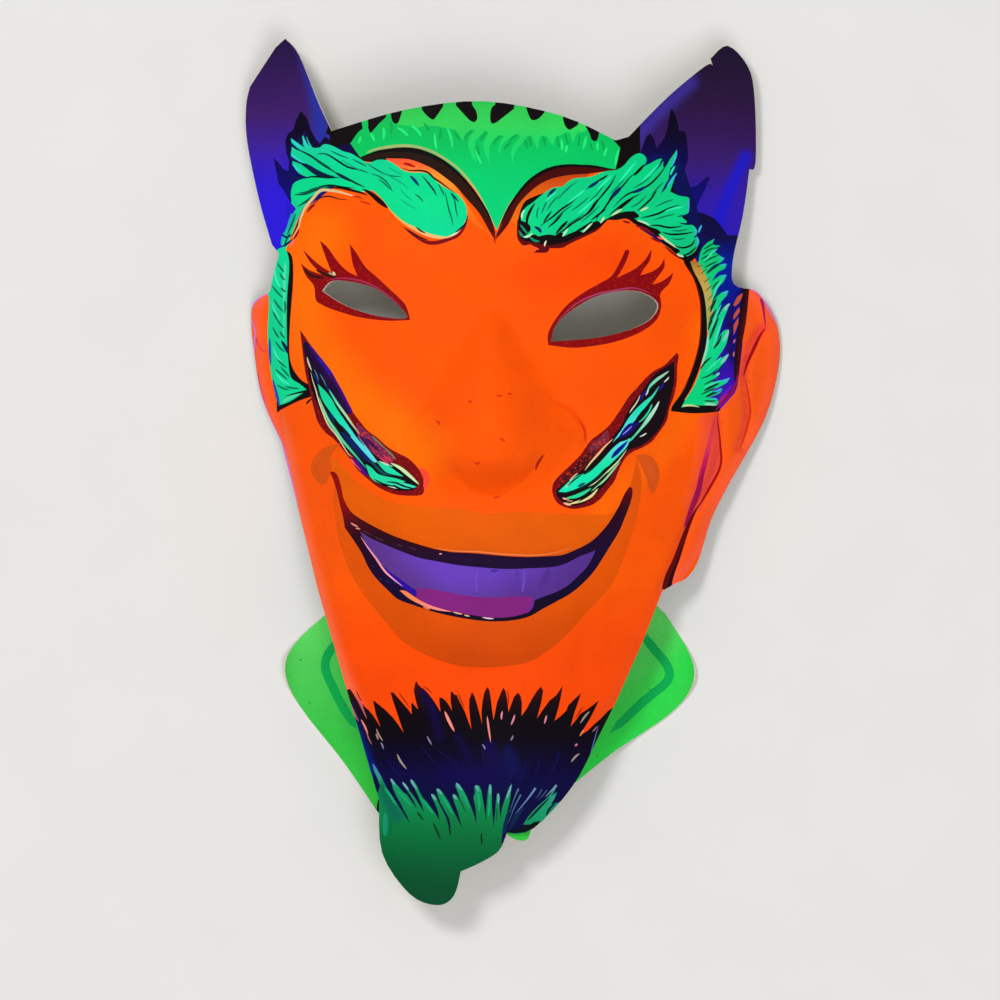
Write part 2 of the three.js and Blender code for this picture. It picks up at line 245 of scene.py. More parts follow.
def flattened(points):
    """Where places on the finished mask lie on the flat, uncut sheet."""
    x, y = np.array(points, float).T
    radius, angle = around_apex(x, y)
    share = closing(radius) / (DART_REACH - SLIT_LEAN)
    on_flap = (angle > SLIT_LEAN) & (angle < DART_REACH)
    angle = np.where(on_flap, (angle + share * DART_REACH) / (1 + share), angle)
    return np.stack(from_apex(radius, angle), 1)


def formed(x, y, on_flap):
    """Where a place on the flat sheet ends up once it is pressed and its dart is closed."""
    radius, angle = around_apex(x, y)
    share = np.where(on_flap, (DART_REACH - angle) / (DART_REACH - SLIT_LEAN), 0)
    drop = FLAP_DROP * share * smooth((radius - SLIT_STARTS_AT) / (FLAP_DROPS_BY - SLIT_STARTS_AT))
    across, down = from_apex(radius, angle - closing(radius) * share)
    return np.stack([across, down, face_height(x, y) - drop], 1)


def flap_of(x, y):
    """Which places belong to the flap, right of the slit."""
    angle = around_apex(x, y)[1]
    return (angle > SLIT_LEAN) & (angle < DART_REACH)


slit_length = float(around_apex(*SLIT_END)[0])
slit_start = from_apex(SLIT_STARTS_AT, SLIT_LEAN)
flap_corner = from_apex(slit_length, SLIT_LEAN)
flap_end = flattened([(3.5, -108.2), (12.8, -100.4), (19.6, -91.5)])
face_outline = closed(
    [(30.5, 99), (14, 106.4), (-9, 110.6), (-32, 108.2), (-54.5, 101.9)],
    [(-58.5, 110.5), (-64.4, 125), (-68.6, 130)],
    [(-71.5, 127.4)],
    [(-79.3, 115.8)],
    [(-80.5, 110), (-80.2, 99.5), (-76.6, 82), (-72.6, 68.2)],
    [(-70.4, 65.5)],
    [(-72.2, 59)],
    [(-73.2, 54.2)],
    [(-78.2, 50.9), (-79, 45), (-78.2, 36.5), (-75.8, 22.4), (-69.8, 8.6)],
    [(-66.2, -5.3)],
    [(-58.7, -35.6)],
    [(-49.1, -68.6)],
    [(-40.3, -98.6)],
    [(-39.4, -114.5), (-31.1, -126.7), (-22.9, -130), (-17.9, -127.2), (-15.8, -119.8)],
    [(-10, -117.2), (-4.4, -113.6), SLIT_END],
    [(slit_start[0] - SLIT_HALF_WIDTH, slit_start[1])],
    [(slit_start[0] + SLIT_HALF_WIDTH, slit_start[1])],
    [(flap_corner[0] + SLIT_HALF_WIDTH, flap_corner[1])],
    list(flap_end),
    [(30.5, -69.5)],
    [(38.9, -50.6)],
    [(44.6, -35.9)],
    [(48.2, -33.8)],
    [
        (52, -32), (55, -28), (57.2, -21.8), (59.6, -14.2), (64.8, -3.8), (75.8, 16.1), (80.1, 32.9),
        (79.4, 44.3), (74.9, 52.4), (72.2, 54.8),
    ],
    [(66.2, 56.3), (66, 64), (69, 77), (71, 91)],
    [(72.9, 93), (72.6, 112), (70.6, 121.7), (64.4, 128), (59.2, 124)],
    [(59.8, 122)],
    [(57.5, 121.7), (46.4, 112.4), (34.4, 100.1)],
)
# Each eye hole ends where it started, and the place that is there twice goes
left_eye = closed(
    [(-57.3, 54), (-54, 57), (-45.4, 56), (-38.5, 52.9), (-31.5, 46), (-40, 46.2), (-50, 49.4), (-57.3, 54)]
)[:-1]
right_eye = closed(
    [(11, 38.6), (13.5, 44.8), (24, 52), (36, 54), (43.2, 50.2), (39.5, 44.4), (27, 40.2), (11, 38.6)]
)[:-1]

# 3. The printed inks of the face
# Offset litho on one side of the sheet before it is cut: a fluorescent orange, greens, purples,
# a dark red key and black brushwork over them. Later inks cover earlier ones.


def linear(colour):
    """An sRGB hex colour as linear red, green and blue."""
    srgb = [int(colour[i : i + 2], 16) / 255 for i in (1, 3, 5)]
    return np.array([c / 12.92 if c <= 0.04045 else ((c + 0.055) / 1.055) ** 2.4 for c in srgb])


def ink(colour, worn=0.0):
    """A solid ink. worn is the share of it that broke up on the press."""
    numbers = np.append(linear(colour), worn)
    return lambda x, y: np.tile(numbers, (len(x), 1))


def inked(colour):
    """An ink as it is. A plain hex colour stands for a solid one."""
    return ink(colour) if isinstance(colour, str) else colour


def fade(stops, lean=0.0):
    """An ink that changes up the sheet: (Y, colour) from low to high. lean tilts the change towards X."""
    levels = [level for level, _ in stops]
    colours = np.array([linear(colour) for _, colour in stops])

    def shade(x, y):
        rgb = [np.interp(y + lean * x, levels, colours[:, k]) for k in range(3)]
        return np.stack([*rgb, np.zeros(len(x))], 1)

    return shade


def beside(first, other, points, reach):
    """Two inks blended along a smooth line: the other one on it, the first one beyond reach."""
    first, other, line = inked(first), inked(other), run(points)

    def shade(x, y):
        share = smooth(1 - distance(x, y, line) / reach)[:, None]
        return first(x, y) * (1 - share) + other(x, y) * share

    return shade


def lens(t):
    """Thin at both ends."""
    return np.sin(math.pi * t) ** 0.7


def spike(t):
    """Full at its start, thinning to a point."""
    return (1 - t) ** 0.75


def brush(t):
    """Full soon after its start, with a long thin end."""
    return np.minimum(1, t / 0.2) ** 0.5 * (1 - t) ** 0.55


def band(t):
    """Nearly even along its length."""
    return np.minimum(1, 12 * t * (1 - t)) ** 0.5


STROKE_STEPS = 3


def stroke(points, width, form):
    """The outline of one brush stroke along a smooth curve: form(t) is its share of the width."""
    spine = run(points, STROKE_STEPS)
    along = np.gradient(spine, axis=0)
    across = np.stack([-along[:, 1], along[:, 0]], 1) / np.linalg.norm(along, axis=1)[:, None]
    half = width / 2 * form(np.linspace(0, 1, len(spine)))[:, None]
    return np.concatenate([spine + across * half, (spine - across * half)[::-1]])


prints = []


def lay(outline, colour):
    """Prints over everything so far."""
    prints.append((outline, inked(colour)))


def area(colour, *runs):
    """An area inside smooth runs."""
    lay(closed(*runs), colour)


def patch(colour, points):
    """An area with straight sides."""
    lay(np.array(points, float), colour)


def paint(colour, width, form, *strokes):
    """Brush strokes of one width and form."""
    for points in strokes:
        lay(stroke(points, width, form), colour)


BLACK = "#0C0508"

orange_skin = fade([(-95, "#FF4600"), (-60, "#FB4A00"), (-46, "#FC4F00"), (-34, "#FE5800"), (-20, "#FE5700"),
    (25, "#FE5500"), (60, "#FD5400"), (90, "#FF5A00")])
for colour, line, reach in (
    ("#FF6E00", at(-58.6, 70.6, -63.4, 51.4, -59.2, 35.9, -49, 22.6, -36.4, 12.4, -28.6, 5.8), 15),
    ("#FF6400", at(57.1, 42.4, 57.8, 28.9, 46.4, 9.4, 34.9, -3.1, 25.3, -12.2), 8),
    ("#FB4A00", at(9.4, 58.6, 29.5, 62.8), 15),
):
    orange_skin = beside(orange_skin, colour, line, reach)
left_border = at(-75.5, 51.4, -75.5, 39.4, -73, 21.4, -69.1, 9.4, -64, -14.5, -58.6, -35.5, -52.6, -56.5,
    -45.4, -74.5)
right_border = at(52.9, -14.5, 43.9, -38.5, 37.9, -50.5, 31.3, -65.5, 25.9, -74.5)
# Coral along the steep left edge of the face and ear: painted sheen where the card catches the light
skin = beside(orange_skin, "#FF6C44", left_border, 3.5)
skin = beside(skin, "#F84E10", right_border, 3)

# The ears turn coral at their edges, a painted sheen where the steep card catches the light, with red fold
# lines and a magenta line of painted shade beside the jaw
ear = beside("#FF5A0E", "#FF6440", at(-75.5, 52.6, -78.5, 48.4, -77.8, 37.9, -76.6, 25.9, -73.6, 16.9,
    -69.1, 7.9), 3.5)
area(ear, at(-73, 54.4, -82, 53.9, -82, 33.4, -75.5, 12.4, -68.2, 6.5), at(-69.5, 15.4, -70.6, 20.6,
    -72.8, 30.4, -73, 54.4))
ear_edge = at(71, 55.6, 75.8, 50.5, 80, 43.9, 80.8, 36.4, 78.8, 24.4, 74.5, 12.4, 68.5, 2.9, 60.8, -11.5,
    55.9, -25.1, 46.4, -34.9)
ear = beside(fade([(-40, "#FF5210"), (10, "#FF5B0C"), (45, "#FF5A18")]), "#FF5E38", ear_edge, 4.5)
# Soft red inside the right ear's hollow, beside its fold lines: painted shade in the pressed hollow
ear = beside(ear, "#F03A34", at(75.1, 43.6, 71.5, 38.2, 69.1, 31.6, 68.5, 28.6), 2.2)
ear = beside(ear, "#F2482E", at(69.1, 28.1, 69.8, 21.4, 69.5, 14.2, 67.3, 7), 1.8)
area(ear, at(60.8, 20.2, 66.5, 23.8, 68.5, 36.4, 70.6, 56.2), at(83, 54.4, 84.5, 21.4, 68, -5.5,
    46.9, -38.5), at(42.4, -37.9, 52.9, -16.1, 59.5, 0.4, 60.8, 20.2))
# Beside the jaw the card turns steeply down to the ear: the red-orange band and magenta lines are painted
# shade of that fold, the coral strip a painted sheen
paint(beside("#F4502C", ear, at(55.4, 14.2, 53.5, 0.4, 49.9, -12.2), 2.5), 7, band, at(58.3, 17.8, 57.8, 7,
    55.4, -3.8, 52.4, -12.8))
paint("#F24838", 3.2, lens, at(61.3, 18.4, 60.8, 9.4, 60.1, 0.4, 55.9, -7.9))
magenta = beside("#C4145C", "#E03C50", at(60.8, 17.8, 59.5, 9.4), 8)
paint(magenta, 1.6, lens, at(60.8, 17.6, 59.8, 13.3, 58.9, 9.2, 57.8, 4, 56.5, -0.8, 55.4, -5.5, 53.9, -10.9,
    51.4, -17.6))
paint("#A40850", 1.8, lens, at(57.4, 1.6, 56.2, -3.1, 55, -7.3, 53.2, -11.8, 51.1, -17.2))
paint("#B4144C", 1.2, brush, at(74.5, 52.4, 75.1, 49.6, 76, 43))
paint("#9C0810", 1.0, lens, at(76, 43.4, 74.2, 40.9, 72.5, 37.4, 70.3, 32.5, 69.1, 28.3))
paint("#D83412", 0.8, lens, at(69.5, 28.3, 70.3, 25.1, 71, 20.8, 71.2, 17.6, 70.3, 13.3, 69.1, 9.4, 68, 6.5))
paint("#A00810", 1.0, brush, at(55.4, -10.9, 57.4, -7.6, 59.8, -3.4, 61.6, -0.1, 62.5, 3.4, 62.2, 7.3,
    61.9, 10.9, 61.3, 14.8, 61.6, 17.8))
paint("#5C040A", 2.7, spike, at(45.8, -35.5, 46.6, -31.6, 48.8, -26.6, 50.9, -20.6, 52.6, -16.1, 54.4, -12.2,
    56.2, -9.4))
paint("#26040C", 1.5, spike, at(46.6, -35.5, 47.5, -31.6, 49.4, -26.6, 51.1, -21.1))
paint("#E8305C", 0.6, brush, at(-77.8, 41.5, -77.2, 38.9, -75.5, 36.4), at(-76.6, 37.9, -75.5, 36.4,
    -74.2, 36.1), at(-77.2, 30.4, -76.3, 25.1, -74.5, 20.2))
paint("#DC78D4", 0.45, band, at(-73, 53.9, -76.3, 52.4, -78.8, 49.6, -79.3, 46.6, -77.8, 42.4, -78.1, 37.9,
    -78.1, 33.1, -76.3, 24.4, -73.6, 16.6, -69.8, 8.8, -67.6, 1.6, -64.6, -11.2), at(71, 55, 73, 54.1,
    74.8, 52.4, 77, 48.4, 79, 45.4, 80.5, 41.9, 80.8, 37.4, 80.2, 33.4))

# Horns: dull purple, nearly black at the tips, bluer where they meet the head; that blue is a painted sheen
# of light on the curled-back card
horn = fade([(72, "#2A18DC"), (84, "#2C18D4"), (92, "#321BB8"), (98, "#3C1E94"), (107, "#3C1C66"),
    (128, "#241040")])
horn = beside(horn, "#22309C", at(-62.2, 126.4, -59.2, 113, -57.4, 100), 4)
patch(horn, at(-86.5, 133.9, -47.5, 133.9, -48.4, 96.5, -55, 93.5, -64, 77, -68.8, 67.6, -69.8, 64.6,
    -75.5, 64.6, -86.5, 81.5))
horn = fade([(74, "#2E18B4"), (82, "#3219A4"), (93, "#381A6E"), (102, "#321654"), (111, "#2A133C"),
    (124, "#1E102E")])
horn = beside(horn, "#3A2C90", at(34.4, 95.8, 40.9, 104.8, 52.9, 116.8), 4)
# A bright blue band along the right horn's outer edge: painted sheen where the horn curls back
horn = beside(horn, "#1A16C8", at(69.8, 94.6, 66.5, 87.5, 62.8, 79, 60.8, 71.8), 3.4)
patch(horn, at(31.9, 90.5, 31.9, 102.5, 37.9, 113, 55.9, 135.4, 83, 135.4, 83, 58.9, 67, 56.2, 66.5, 51.4,
    55.9, 62.8, 52.9, 66.5, 40.9, 81.5))

# Black tufts behind the brows, turning navy lower down
tuft = fade([(80, "#0A0A78"), (92, "#0A0550"), (100, "#0A0228"), (108, "#080216")])
patch(tuft, at(-63.8, 108.1, -61.9, 106, -60.8, 102.5, -59.2, 99.5, -58, 98.2, -56.5, 100.3, -54.8, 99.1,
    -52, 101.2, -48.4, 103, -45.4, 96.5, -46, 90.5, -64, 77.8, -66.8, 80.5, -69.1, 84.5, -70.6, 86.5,
    -71.2, 89.8, -72.1, 94.3, -70.6, 92.8, -69.1, 90.8, -67.6, 90.1, -67.3, 92.8, -68.2, 95.8, -68.5, 99.5,
    -67.6, 101.5, -66.1, 102.5, -65.2, 105.5))
patch(tuft, at(29.5, 89.8, 29.5, 99.5, 32.5, 103.6, 33.1, 96.5, 32.5, 91.6, 35.5, 94, 38.2, 95.8, 38.9, 98,
    39.8, 100.3, 40.9, 101.2, 42.1, 99.5, 42.8, 96.8, 44.2, 98.5, 45.4, 100.3, 46.4, 104, 46.9, 107.8,
    47.5, 108.8, 48.8, 106.3, 49.4, 103.6, 49.6, 102.1, 51.4, 102.1, 52, 100, 52.4, 93.5, 51.1, 89.8,
    50.5, 85.6, 53.2, 85.3, 55, 85.6, 56.9, 87.5, 58.3, 88.6, 58.9, 88, 57.4, 84.5, 56.2, 82, 55, 79.6,
    54.8, 77.8, 56.9, 77.5, 60.4, 76, 62.5, 73.6, 64.3, 71, 67.6, 71, 66.8, 62.8, 68.5, 55.6, 69.5, 54.4,
    68.8, 37.9, 67.3, 25.6, 66.5, 23.6, 61.3, 17.8, 52.9, 18.4, 56.5, 27.4, 58.6, 37.9, 58.6, 47.9,
    57.4, 55.9, 55, 62.8, 52.9, 66.5, 52.9, 77, 40.9, 84.5))
side = fade([(18, "#5A14C8"), (26, "#3A0CB4"), (45, "#0A0A80"), (62, "#001C9C"), (70, "#0A0848"),
    (78, "#0C0430")])
side = beside(side, "#1A0430", at(65.5, 49.6, 65.2, 43.9, 65.2, 37.9, 65.8, 33.4), 1.7)
patch(side, at(54.8, 77.8, 56.9, 77.5, 60.4, 76, 62.5, 73.6, 64.3, 71, 68.5, 71, 68.5, 55, 66.5, 53.9,
    65.8, 37.9, 66.1, 29.8, 67.3, 25.6, 66.5, 23.6, 61.3, 17.8, 55.9, 18.4, 58.6, 30.4, 59.5, 42.4,
    58.9, 52.9, 56.9, 61.9, 54.8, 66.5))
patch(beside("#14040E", "#4C0410", at(71, 55, 70.3, 48.4, 68.5, 37.4, 68, 32.5, 67, 25.1), 1.6),
    at(68.5, 55.6, 71, 55.6, 70.3, 48.4, 69.8, 44.5, 68.5, 37.4, 68, 32.5, 67.3, 27.4, 66.8, 24.4,
    66.1, 29.8, 66.5, 35.5, 67, 40, 67.6, 44.9, 68.5, 52))
for points in (
    at(66.5, 51.1, 67.3, 52.6, 69, 53.7, 68.5, 51.9, 67.6, 50.5, 66.6, 49.6, 66, 49.9),
    at(66, 46.6, 66.8, 48.1, 67.8, 49.4, 68, 48.1, 67, 46.6, 66.1, 45.6),
    at(66.1, 43.9, 66.8, 45.1, 67.6, 46.4, 67.5, 44.5, 66.9, 42.8, 66.1, 40.9),
):
    patch("#C4503C", points)
paint("#B06080", 0.6, lens, at(66, 38.5, 66.3, 39.1, 66.6, 39.8), at(66.1, 34.4, 66.1, 35.2, 66.3, 36.1))

# Hair: one green cap with a widow's peak, a scalloped edge, and brush locks lighter and darker
patch(BLACK, at(-49, 98, -56.2, 101.2, -55, 104.8, -28.1, 115.9, 13.9, 115.9, 37.9, 104.2, 37.9, 92,
    31, 89.8, -4, 87.5, -45.8, 92.8))
hair = fade([(70, "#00D27C"), (84, "#00CC70"), (94, "#00C662"), (100, "#02BE58"), (106, "#10BC52")])
area(hair, at(-45.8, 93.8, -47.2, 95.8, -48.8, 98.1), at(-44.2, 114.5, -8.8, 120.4, 25.9, 111.5, 31.3, 101),
    at(31.9, 96.8), at(31.3, 93.8, 30.4, 90.1), at(22.9, 91.6, 15.4, 91, 9.4, 89, 3.4, 85, -1.1, 80,
    -5, 71.8), at(-9.4, 80.8, -14.5, 87.5, -20.6, 92.8, -26.6, 95.8, -32.5, 97, -40, 96.1, -45.8, 93.8))
hair_top = fade([(94, "#14D86C"), (99, "#1ED462"), (103, "#32D058"), (108, "#30C650"), (111, "#22B84C")])
patch(hair_top, at(-34.6, 103.6, -34, 113, -8.8, 118.9, 13.9, 113, 22.3, 105.5, 22.1, 102.1, 19.9, 101.2,
    19.1, 101.5, 18.4, 99.8, 17.8, 98, 17.2, 99.8, 16.9, 101.2, 15.8, 101.5, 13.9, 100.3, 12.8, 100.3,
    12.2, 98.8, 11.7, 97.3, 10.9, 98.5, 10, 100, 8.2, 100.3, 7.6, 98.8, 7.2, 96.1, 6.5, 97.6, 5.8, 99.1,
    5.2, 100.3, 3.8, 100, 3.1, 98.5, 1.6, 97, 0.6, 95.5, 0.1, 94, -0.3, 91.6, -0.6, 93.5, -0.8, 95.2,
    -0.3, 97, 0.8, 98.5, 1.9, 99.8, 1.3, 100.6, -0.1, 100.3, -1.6, 99.1, -3.1, 98, -3.8, 96.5, -4, 94.6,
    -4.5, 95.8, -4.3, 97.3, -3.8, 98.8, -2.9, 100, -4.3, 100.6, -5.8, 99.1, -7, 97.6, -7.3, 95.8, -7.3, 94,
    -7.2, 91.6, -7.9, 93.8, -8.8, 95.8, -9.2, 97.6, -8.5, 99.1, -7.6, 101, -8.5, 102.1, -10, 100.3,
    -11.5, 98.5, -11.8, 96.5, -11.5, 94.3, -10.9, 92, -12.4, 94, -13.3, 96.1, -13.7, 98.2, -13, 100,
    -11.5, 101.8, -12.8, 102.1, -14.2, 100.3, -15.1, 98.8, -16.1, 100.3, -17.6, 102.1, -19.6, 102.5,
    -22.1, 103, -25.1, 103.3, -28.6, 102.8, -31, 103.3))
for gap in (
    (at(-55, 96.5, -48.8, 98.1), at(-47.5, 100, -46.4, 101.5, -45.1, 102.5), at(-46, 107.8), at(-55, 107.8)),
    (at(-43.6, 107.8, -43.5, 102.8), at(-42.8, 101.2, -41.5, 102.5, -40, 104.2, -38.2, 105.8),
        at(-37.6, 109)),
    (at(-36.8, 109, -36.6, 105.8), at(-35.9, 104.2, -34.6, 104.1, -33.8, 106), at(-32.9, 109)),
    (at(-27.8, 112, -27.4, 108.1), at(-25.9, 106.3, -24.1, 105.1, -22.9, 106.3, -21.1, 109),
        at(-20.6, 112.6)),
    (at(-17.2, 112.6, -17.2, 109.3), at(-15.1, 107, -13, 104.8, -11.5, 104.4, -10.8, 105.8, -11.2, 107.8),
        at(-12.4, 109.6), at(-12.4, 113.2)),
    (at(-5.2, 113.2, -5.5, 109.6), at(-6.6, 108.5, -7, 106, -6.6, 104, -5.2, 104.2, -3.1, 105.8, 0.1, 108.3),
        at(0.8, 112.6)),
    (at(3.4, 112, 3.8, 108.5), at(4.6, 106.3, 5.5, 105, 7.3, 105.3, 9.2, 107.2), at(10, 110.8)),
    (at(14.5, 109, 14.8, 105.1), at(15.4, 103.3, 16.6, 102.1, 18.1, 102.8, 19.3, 103.6), at(19.9, 107.2)),
    (at(21.4, 106, 21.6, 103), at(22.6, 101.2, 23.4, 99.1, 24.8, 98.8, 25.5, 100.6), at(25.9, 104.2)),
    (at(29.5, 103, 29.8, 99.1), at(31.9, 96.8), at(31.3, 93.8, 30.4, 90.1), at(37.9, 91), at(37.9, 105.5)),
):
    area(BLACK, *gap)
paint("#26E878", 0.8, lens, at(-45.8, 100.3, -46, 99.1, -46.4, 98), at(-42.8, 101.2, -42.1, 100,
    -41.5, 98.5), at(-38.9, 103, -38.7, 101.2, -38.9, 99.1), at(-34.9, 102.8, -33.1, 101.8, -31.3, 100),
    at(-30.8, 103.3, -28.9, 102.1, -27.4, 99.8), at(-23.6, 101.2, -23.4, 98.5, -22.9, 95.8), at(-19.9, 102.8,
    -18.8, 100, -18.1, 96.1), at(14.2, 99.5, 14.5, 97.6, 14.5, 95.8), at(21.8, 100.3, 21.3, 98.2,
    20.8, 96.1), at(25.1, 98.5, 25.1, 97.3, 25.1, 95.8), at(28.1, 96.8, 27.4, 95.5, 27.1, 94), at(31.6, 96.5,
    30.8, 94, 30.4, 91), at(16.1, 97.6, 15.8, 96.5, 15.4, 95), at(-11.2, 96.5, -10.7, 94, -9.4, 91.6))
paint("#00A848", 0.8, lens, at(-36.8, 104.8, -36.4, 102.8, -36.8, 100.6), at(-26.8, 104.2, -25.9, 102.8,
    -24.8, 101.2), at(-21.8, 102.8, -21.8, 101, -22.3, 98.8), at(-14.8, 98.8, -13.9, 100.6, -11.8, 102.1),
    at(-9.8, 98.5, -9.2, 100, -7.6, 101.5), at(-6.1, 97.3, -5.2, 99.1, -3.4, 100.3), at(-1.6, 98.2,
    -0.1, 99.8, 1.6, 100.6), at(3.1, 99.1, 3.8, 98, 4, 96.1), at(4.6, 100, 5, 98.5, 5.2, 96.8),
    at(8.8, 100.3, 9.2, 98.8, 9.4, 97), at(13, 100, 13.3, 98.2, 13.7, 96.5), at(15.1, 101, 15.8, 99.5,
    16.3, 97.3), at(19.6, 100.6, 19.6, 98.8, 19.3, 97), at(22.9, 98.5, 23.2, 97.3, 23.6, 95.8),
    at(26.2, 99.1, 26.8, 97.6, 27.1, 95.8), at(-17.6, 101.8, -16.9, 100.3, -16.1, 98.8), at(-2.9, 96.1,
    -1.9, 97.3, -0.4, 98.2), at(-10.7, 97.6, -10.7, 95.8, -10, 94))

# Two dark arcs run from the widow's peak along the hair, with a misprinted cream line beside them
cream = fade([(66, "#E8B878"), (80, "#C8B46C"), (96, "#9CB46C")])
paint(cream, 1.1, brush, at(-44.2, 95.2, -40, 96.5, -32.5, 97.3, -25.9, 96.1, -20.2, 93.1, -15.1, 89,
    -10, 82, -5.5, 72.8))
orange_gleam = fade([(76, "#FF6A10"), (88, "#FF9830"), (92, "#FF5A30")])
area(orange_gleam, at(-38.2, 93.5, -30.4, 93.1, -24.4, 91, -19.6, 87.5, -15.4, 82.3, -10.7, 74.8, -7, 70.6),
    at(-13, 74.8, -19.1, 81.5, -25.1, 86.2, -34, 89.2, -38.2, 93.5))
right_gleam = fade([(76, "#E8680A"), (84, "#DC5A0C"), (89, "#C4400C")])
area(right_gleam, at(-1.1, 74.8, 1.3, 79.6, 5.5, 84.5, 10.9, 87.5, 17.6, 89.2, 23.6, 89.5), at(19.9, 86.8,
    13.9, 84.5, 7.9, 81.5, 3.1, 77.8, 1.3, 73.6))
arc = fade([(72, "#4A0606"), (78, "#2E1408"), (92, "#24120A")])
area(arc, at(-46.6, 93.5, -43.4, 94.6, -40, 95.5, -32.9, 95.8, -28.9, 95.5, -25.6, 94.3, -19.6, 91,
    -13.7, 85.6, -8.2, 78.5, -5.8, 72.5, -5.5, 68.8), at(-7.3, 71.8, -10.3, 77, -14.2, 81.5, -17.2, 85,
    -20.6, 87.8, -23.8, 90.1, -26.8, 91.6, -29.8, 92.8, -33.1, 93.5, -37, 93.8, -40.4, 93.5, -43, 92.8,
    -46.6, 93.5))
area("#460402", at(-5.5, 68.8, -3.1, 74.8, -0.4, 80.2, 3.1, 84.8, 7, 88.3, 11.5, 90.5, 16.3, 91.3, 22.9, 91,
    31.3, 90.1), at(25.9, 89.4, 22.3, 88.9, 18.1, 88.6, 14.5, 88.1, 10.9, 87.2, 7.3, 85.3, 3.9, 82.4,
    1, 78.9, -1.6, 73.6, -5.5, 68.8))
paint(BLACK, 0.9, lens, at(-46, 93.8, -41.2, 95.2, -32.9, 95.8, -25.1, 94.3, -18.4, 90.5, -13, 85,
    -7.9, 77.5, -5.5, 71.2))
paint(BLACK, 1.1, lens, at(-4.6, 71.8, -2.2, 77.2, 1.1, 82.3, 5, 86.8, 10.3, 90.1, 16.3, 91.3, 22.9, 91,
    31.3, 90.1))
paint("#B41008", 0.9, lens, at(-33.1, 92, -31.3, 91.6, -29.2, 90.8))
paint("#7C0A0A", 0.5, brush, at(-5.5, 71.8, -5.8, 69.5, -5.2, 67.6), at(-3.4, 73.6, -5, 70.6, -6.1, 68.5))

# Left brow: mint locks that fray to turquoise, with navy between them and dark brush lines
brow = fade([(70, "#06D894"), (80, "#02DC8A"), (88, "#04D68C"), (93, "#08D494"), (100, "#20CAA4")])
paint("#7E0610", 1.2, lens, at(-32.9, 73, -30.8, 71.2, -28.3, 69.5, -25.6, 68.2, -22.6, 68.2, -19.6, 69.1,
    -16.6, 70.3, -14.8, 72.5, -13.9, 74.2))
paint("#240408", 0.5, lens, at(-33.1, 73, -30.8, 71.5, -28.3, 70, -25.1, 68.8))
paint(fade([(70, "#E8B878"), (76, "#F0A838")]), 1.2, lens, at(-37.6, 78.8, -35.2, 76.3, -32.9, 74.5,
    -29.5, 72.5, -25.6, 70.6, -21.4, 69.8, -17.8, 70.6, -15.4, 72.5))
area(brow, at(-65.8, 79.6, -66.8, 82.6, -66.1, 86.2, -63.8, 87.5, -61.3, 88), at(-64, 89.2, -65.5, 90.8,
    -66.5, 93.5), at(-66.8, 95.2), at(-66.5, 97.6, -66.8, 100), at(-64.6, 98.5, -63.1, 97.6, -63.4, 100.6),
    at(-62.2, 100.6, -61.3, 98.8, -60.1, 97, -58, 97), at(-56.5, 98, -53.9, 97.3, -51.1, 95.8, -48.4, 95,
    -46, 93.5, -43.4, 92.2, -40.4, 93.1, -37.4, 92.8, -34.9, 91.3, -32.9, 89.8, -30.1, 89.2, -27.1, 89.2,
    -24.8, 88.3, -22.6, 86.2, -20.2, 84.5, -17.2, 83, -15.4, 81.1, -14.2, 79, -13.9, 76, -15.1, 73.3,
    -17.2, 71.2, -19.9, 70, -22.6, 70.3, -25.9, 71.2, -29.2, 72.8, -32.2, 74.2, -34.6, 76, -36.8, 78.1,
    -38.2, 80, -40, 82, -42.1, 83.8, -44.2, 83.5, -46.6, 83.8, -49.4, 84.8, -52.4, 85, -55, 85.3,
    -57.8, 84.5, -59.8, 82.6, -62.2, 80.8, -64.3, 78.8, -65.8, 79.6))
paint("#06164C", 1.0, spike, at(-66.8, 98.2, -65, 96.8, -63.1, 95.8), at(-64.6, 100, -63.8, 98.5, -62.5, 97),
    at(-62.8, 101.5, -62.2, 99.5, -61.3, 97.3))
paint("#06164C", 1.2, spike, at(-67, 94, -65.2, 93.1, -63.1, 92), at(-66.8, 88, -64, 88, -61, 88))
paint("#041850", 1.7, lens, at(-64.3, 92.8, -61.6, 91.3, -58.9, 89.5, -55.9, 88.3, -53.2, 88))
paint("#041C54", 1.0, lens, at(-53.5, 89.5, -50.9, 88, -47.9, 86.5))
paint("#04221E", 0.6, lens, at(-65.8, 97, -63.1, 95.8, -60.4, 94.3, -57.4, 92, -54.4, 90.1, -52, 88.6),
    at(-52.6, 89, -49.6, 87.5, -46.9, 86, -44.2, 84.8), at(-59.2, 95, -56.2, 95, -52.9, 93.1, -49.6, 91,
    -46, 90.1, -43, 89), at(-64, 92.5, -61, 90.5, -58, 89, -54.4, 88), at(-62.8, 88, -59.8, 88.3, -56.2, 88,
    -51.4, 87.8), at(-61.6, 83.8, -58.6, 85, -55, 85.6, -50.9, 85, -47.2, 84.5))
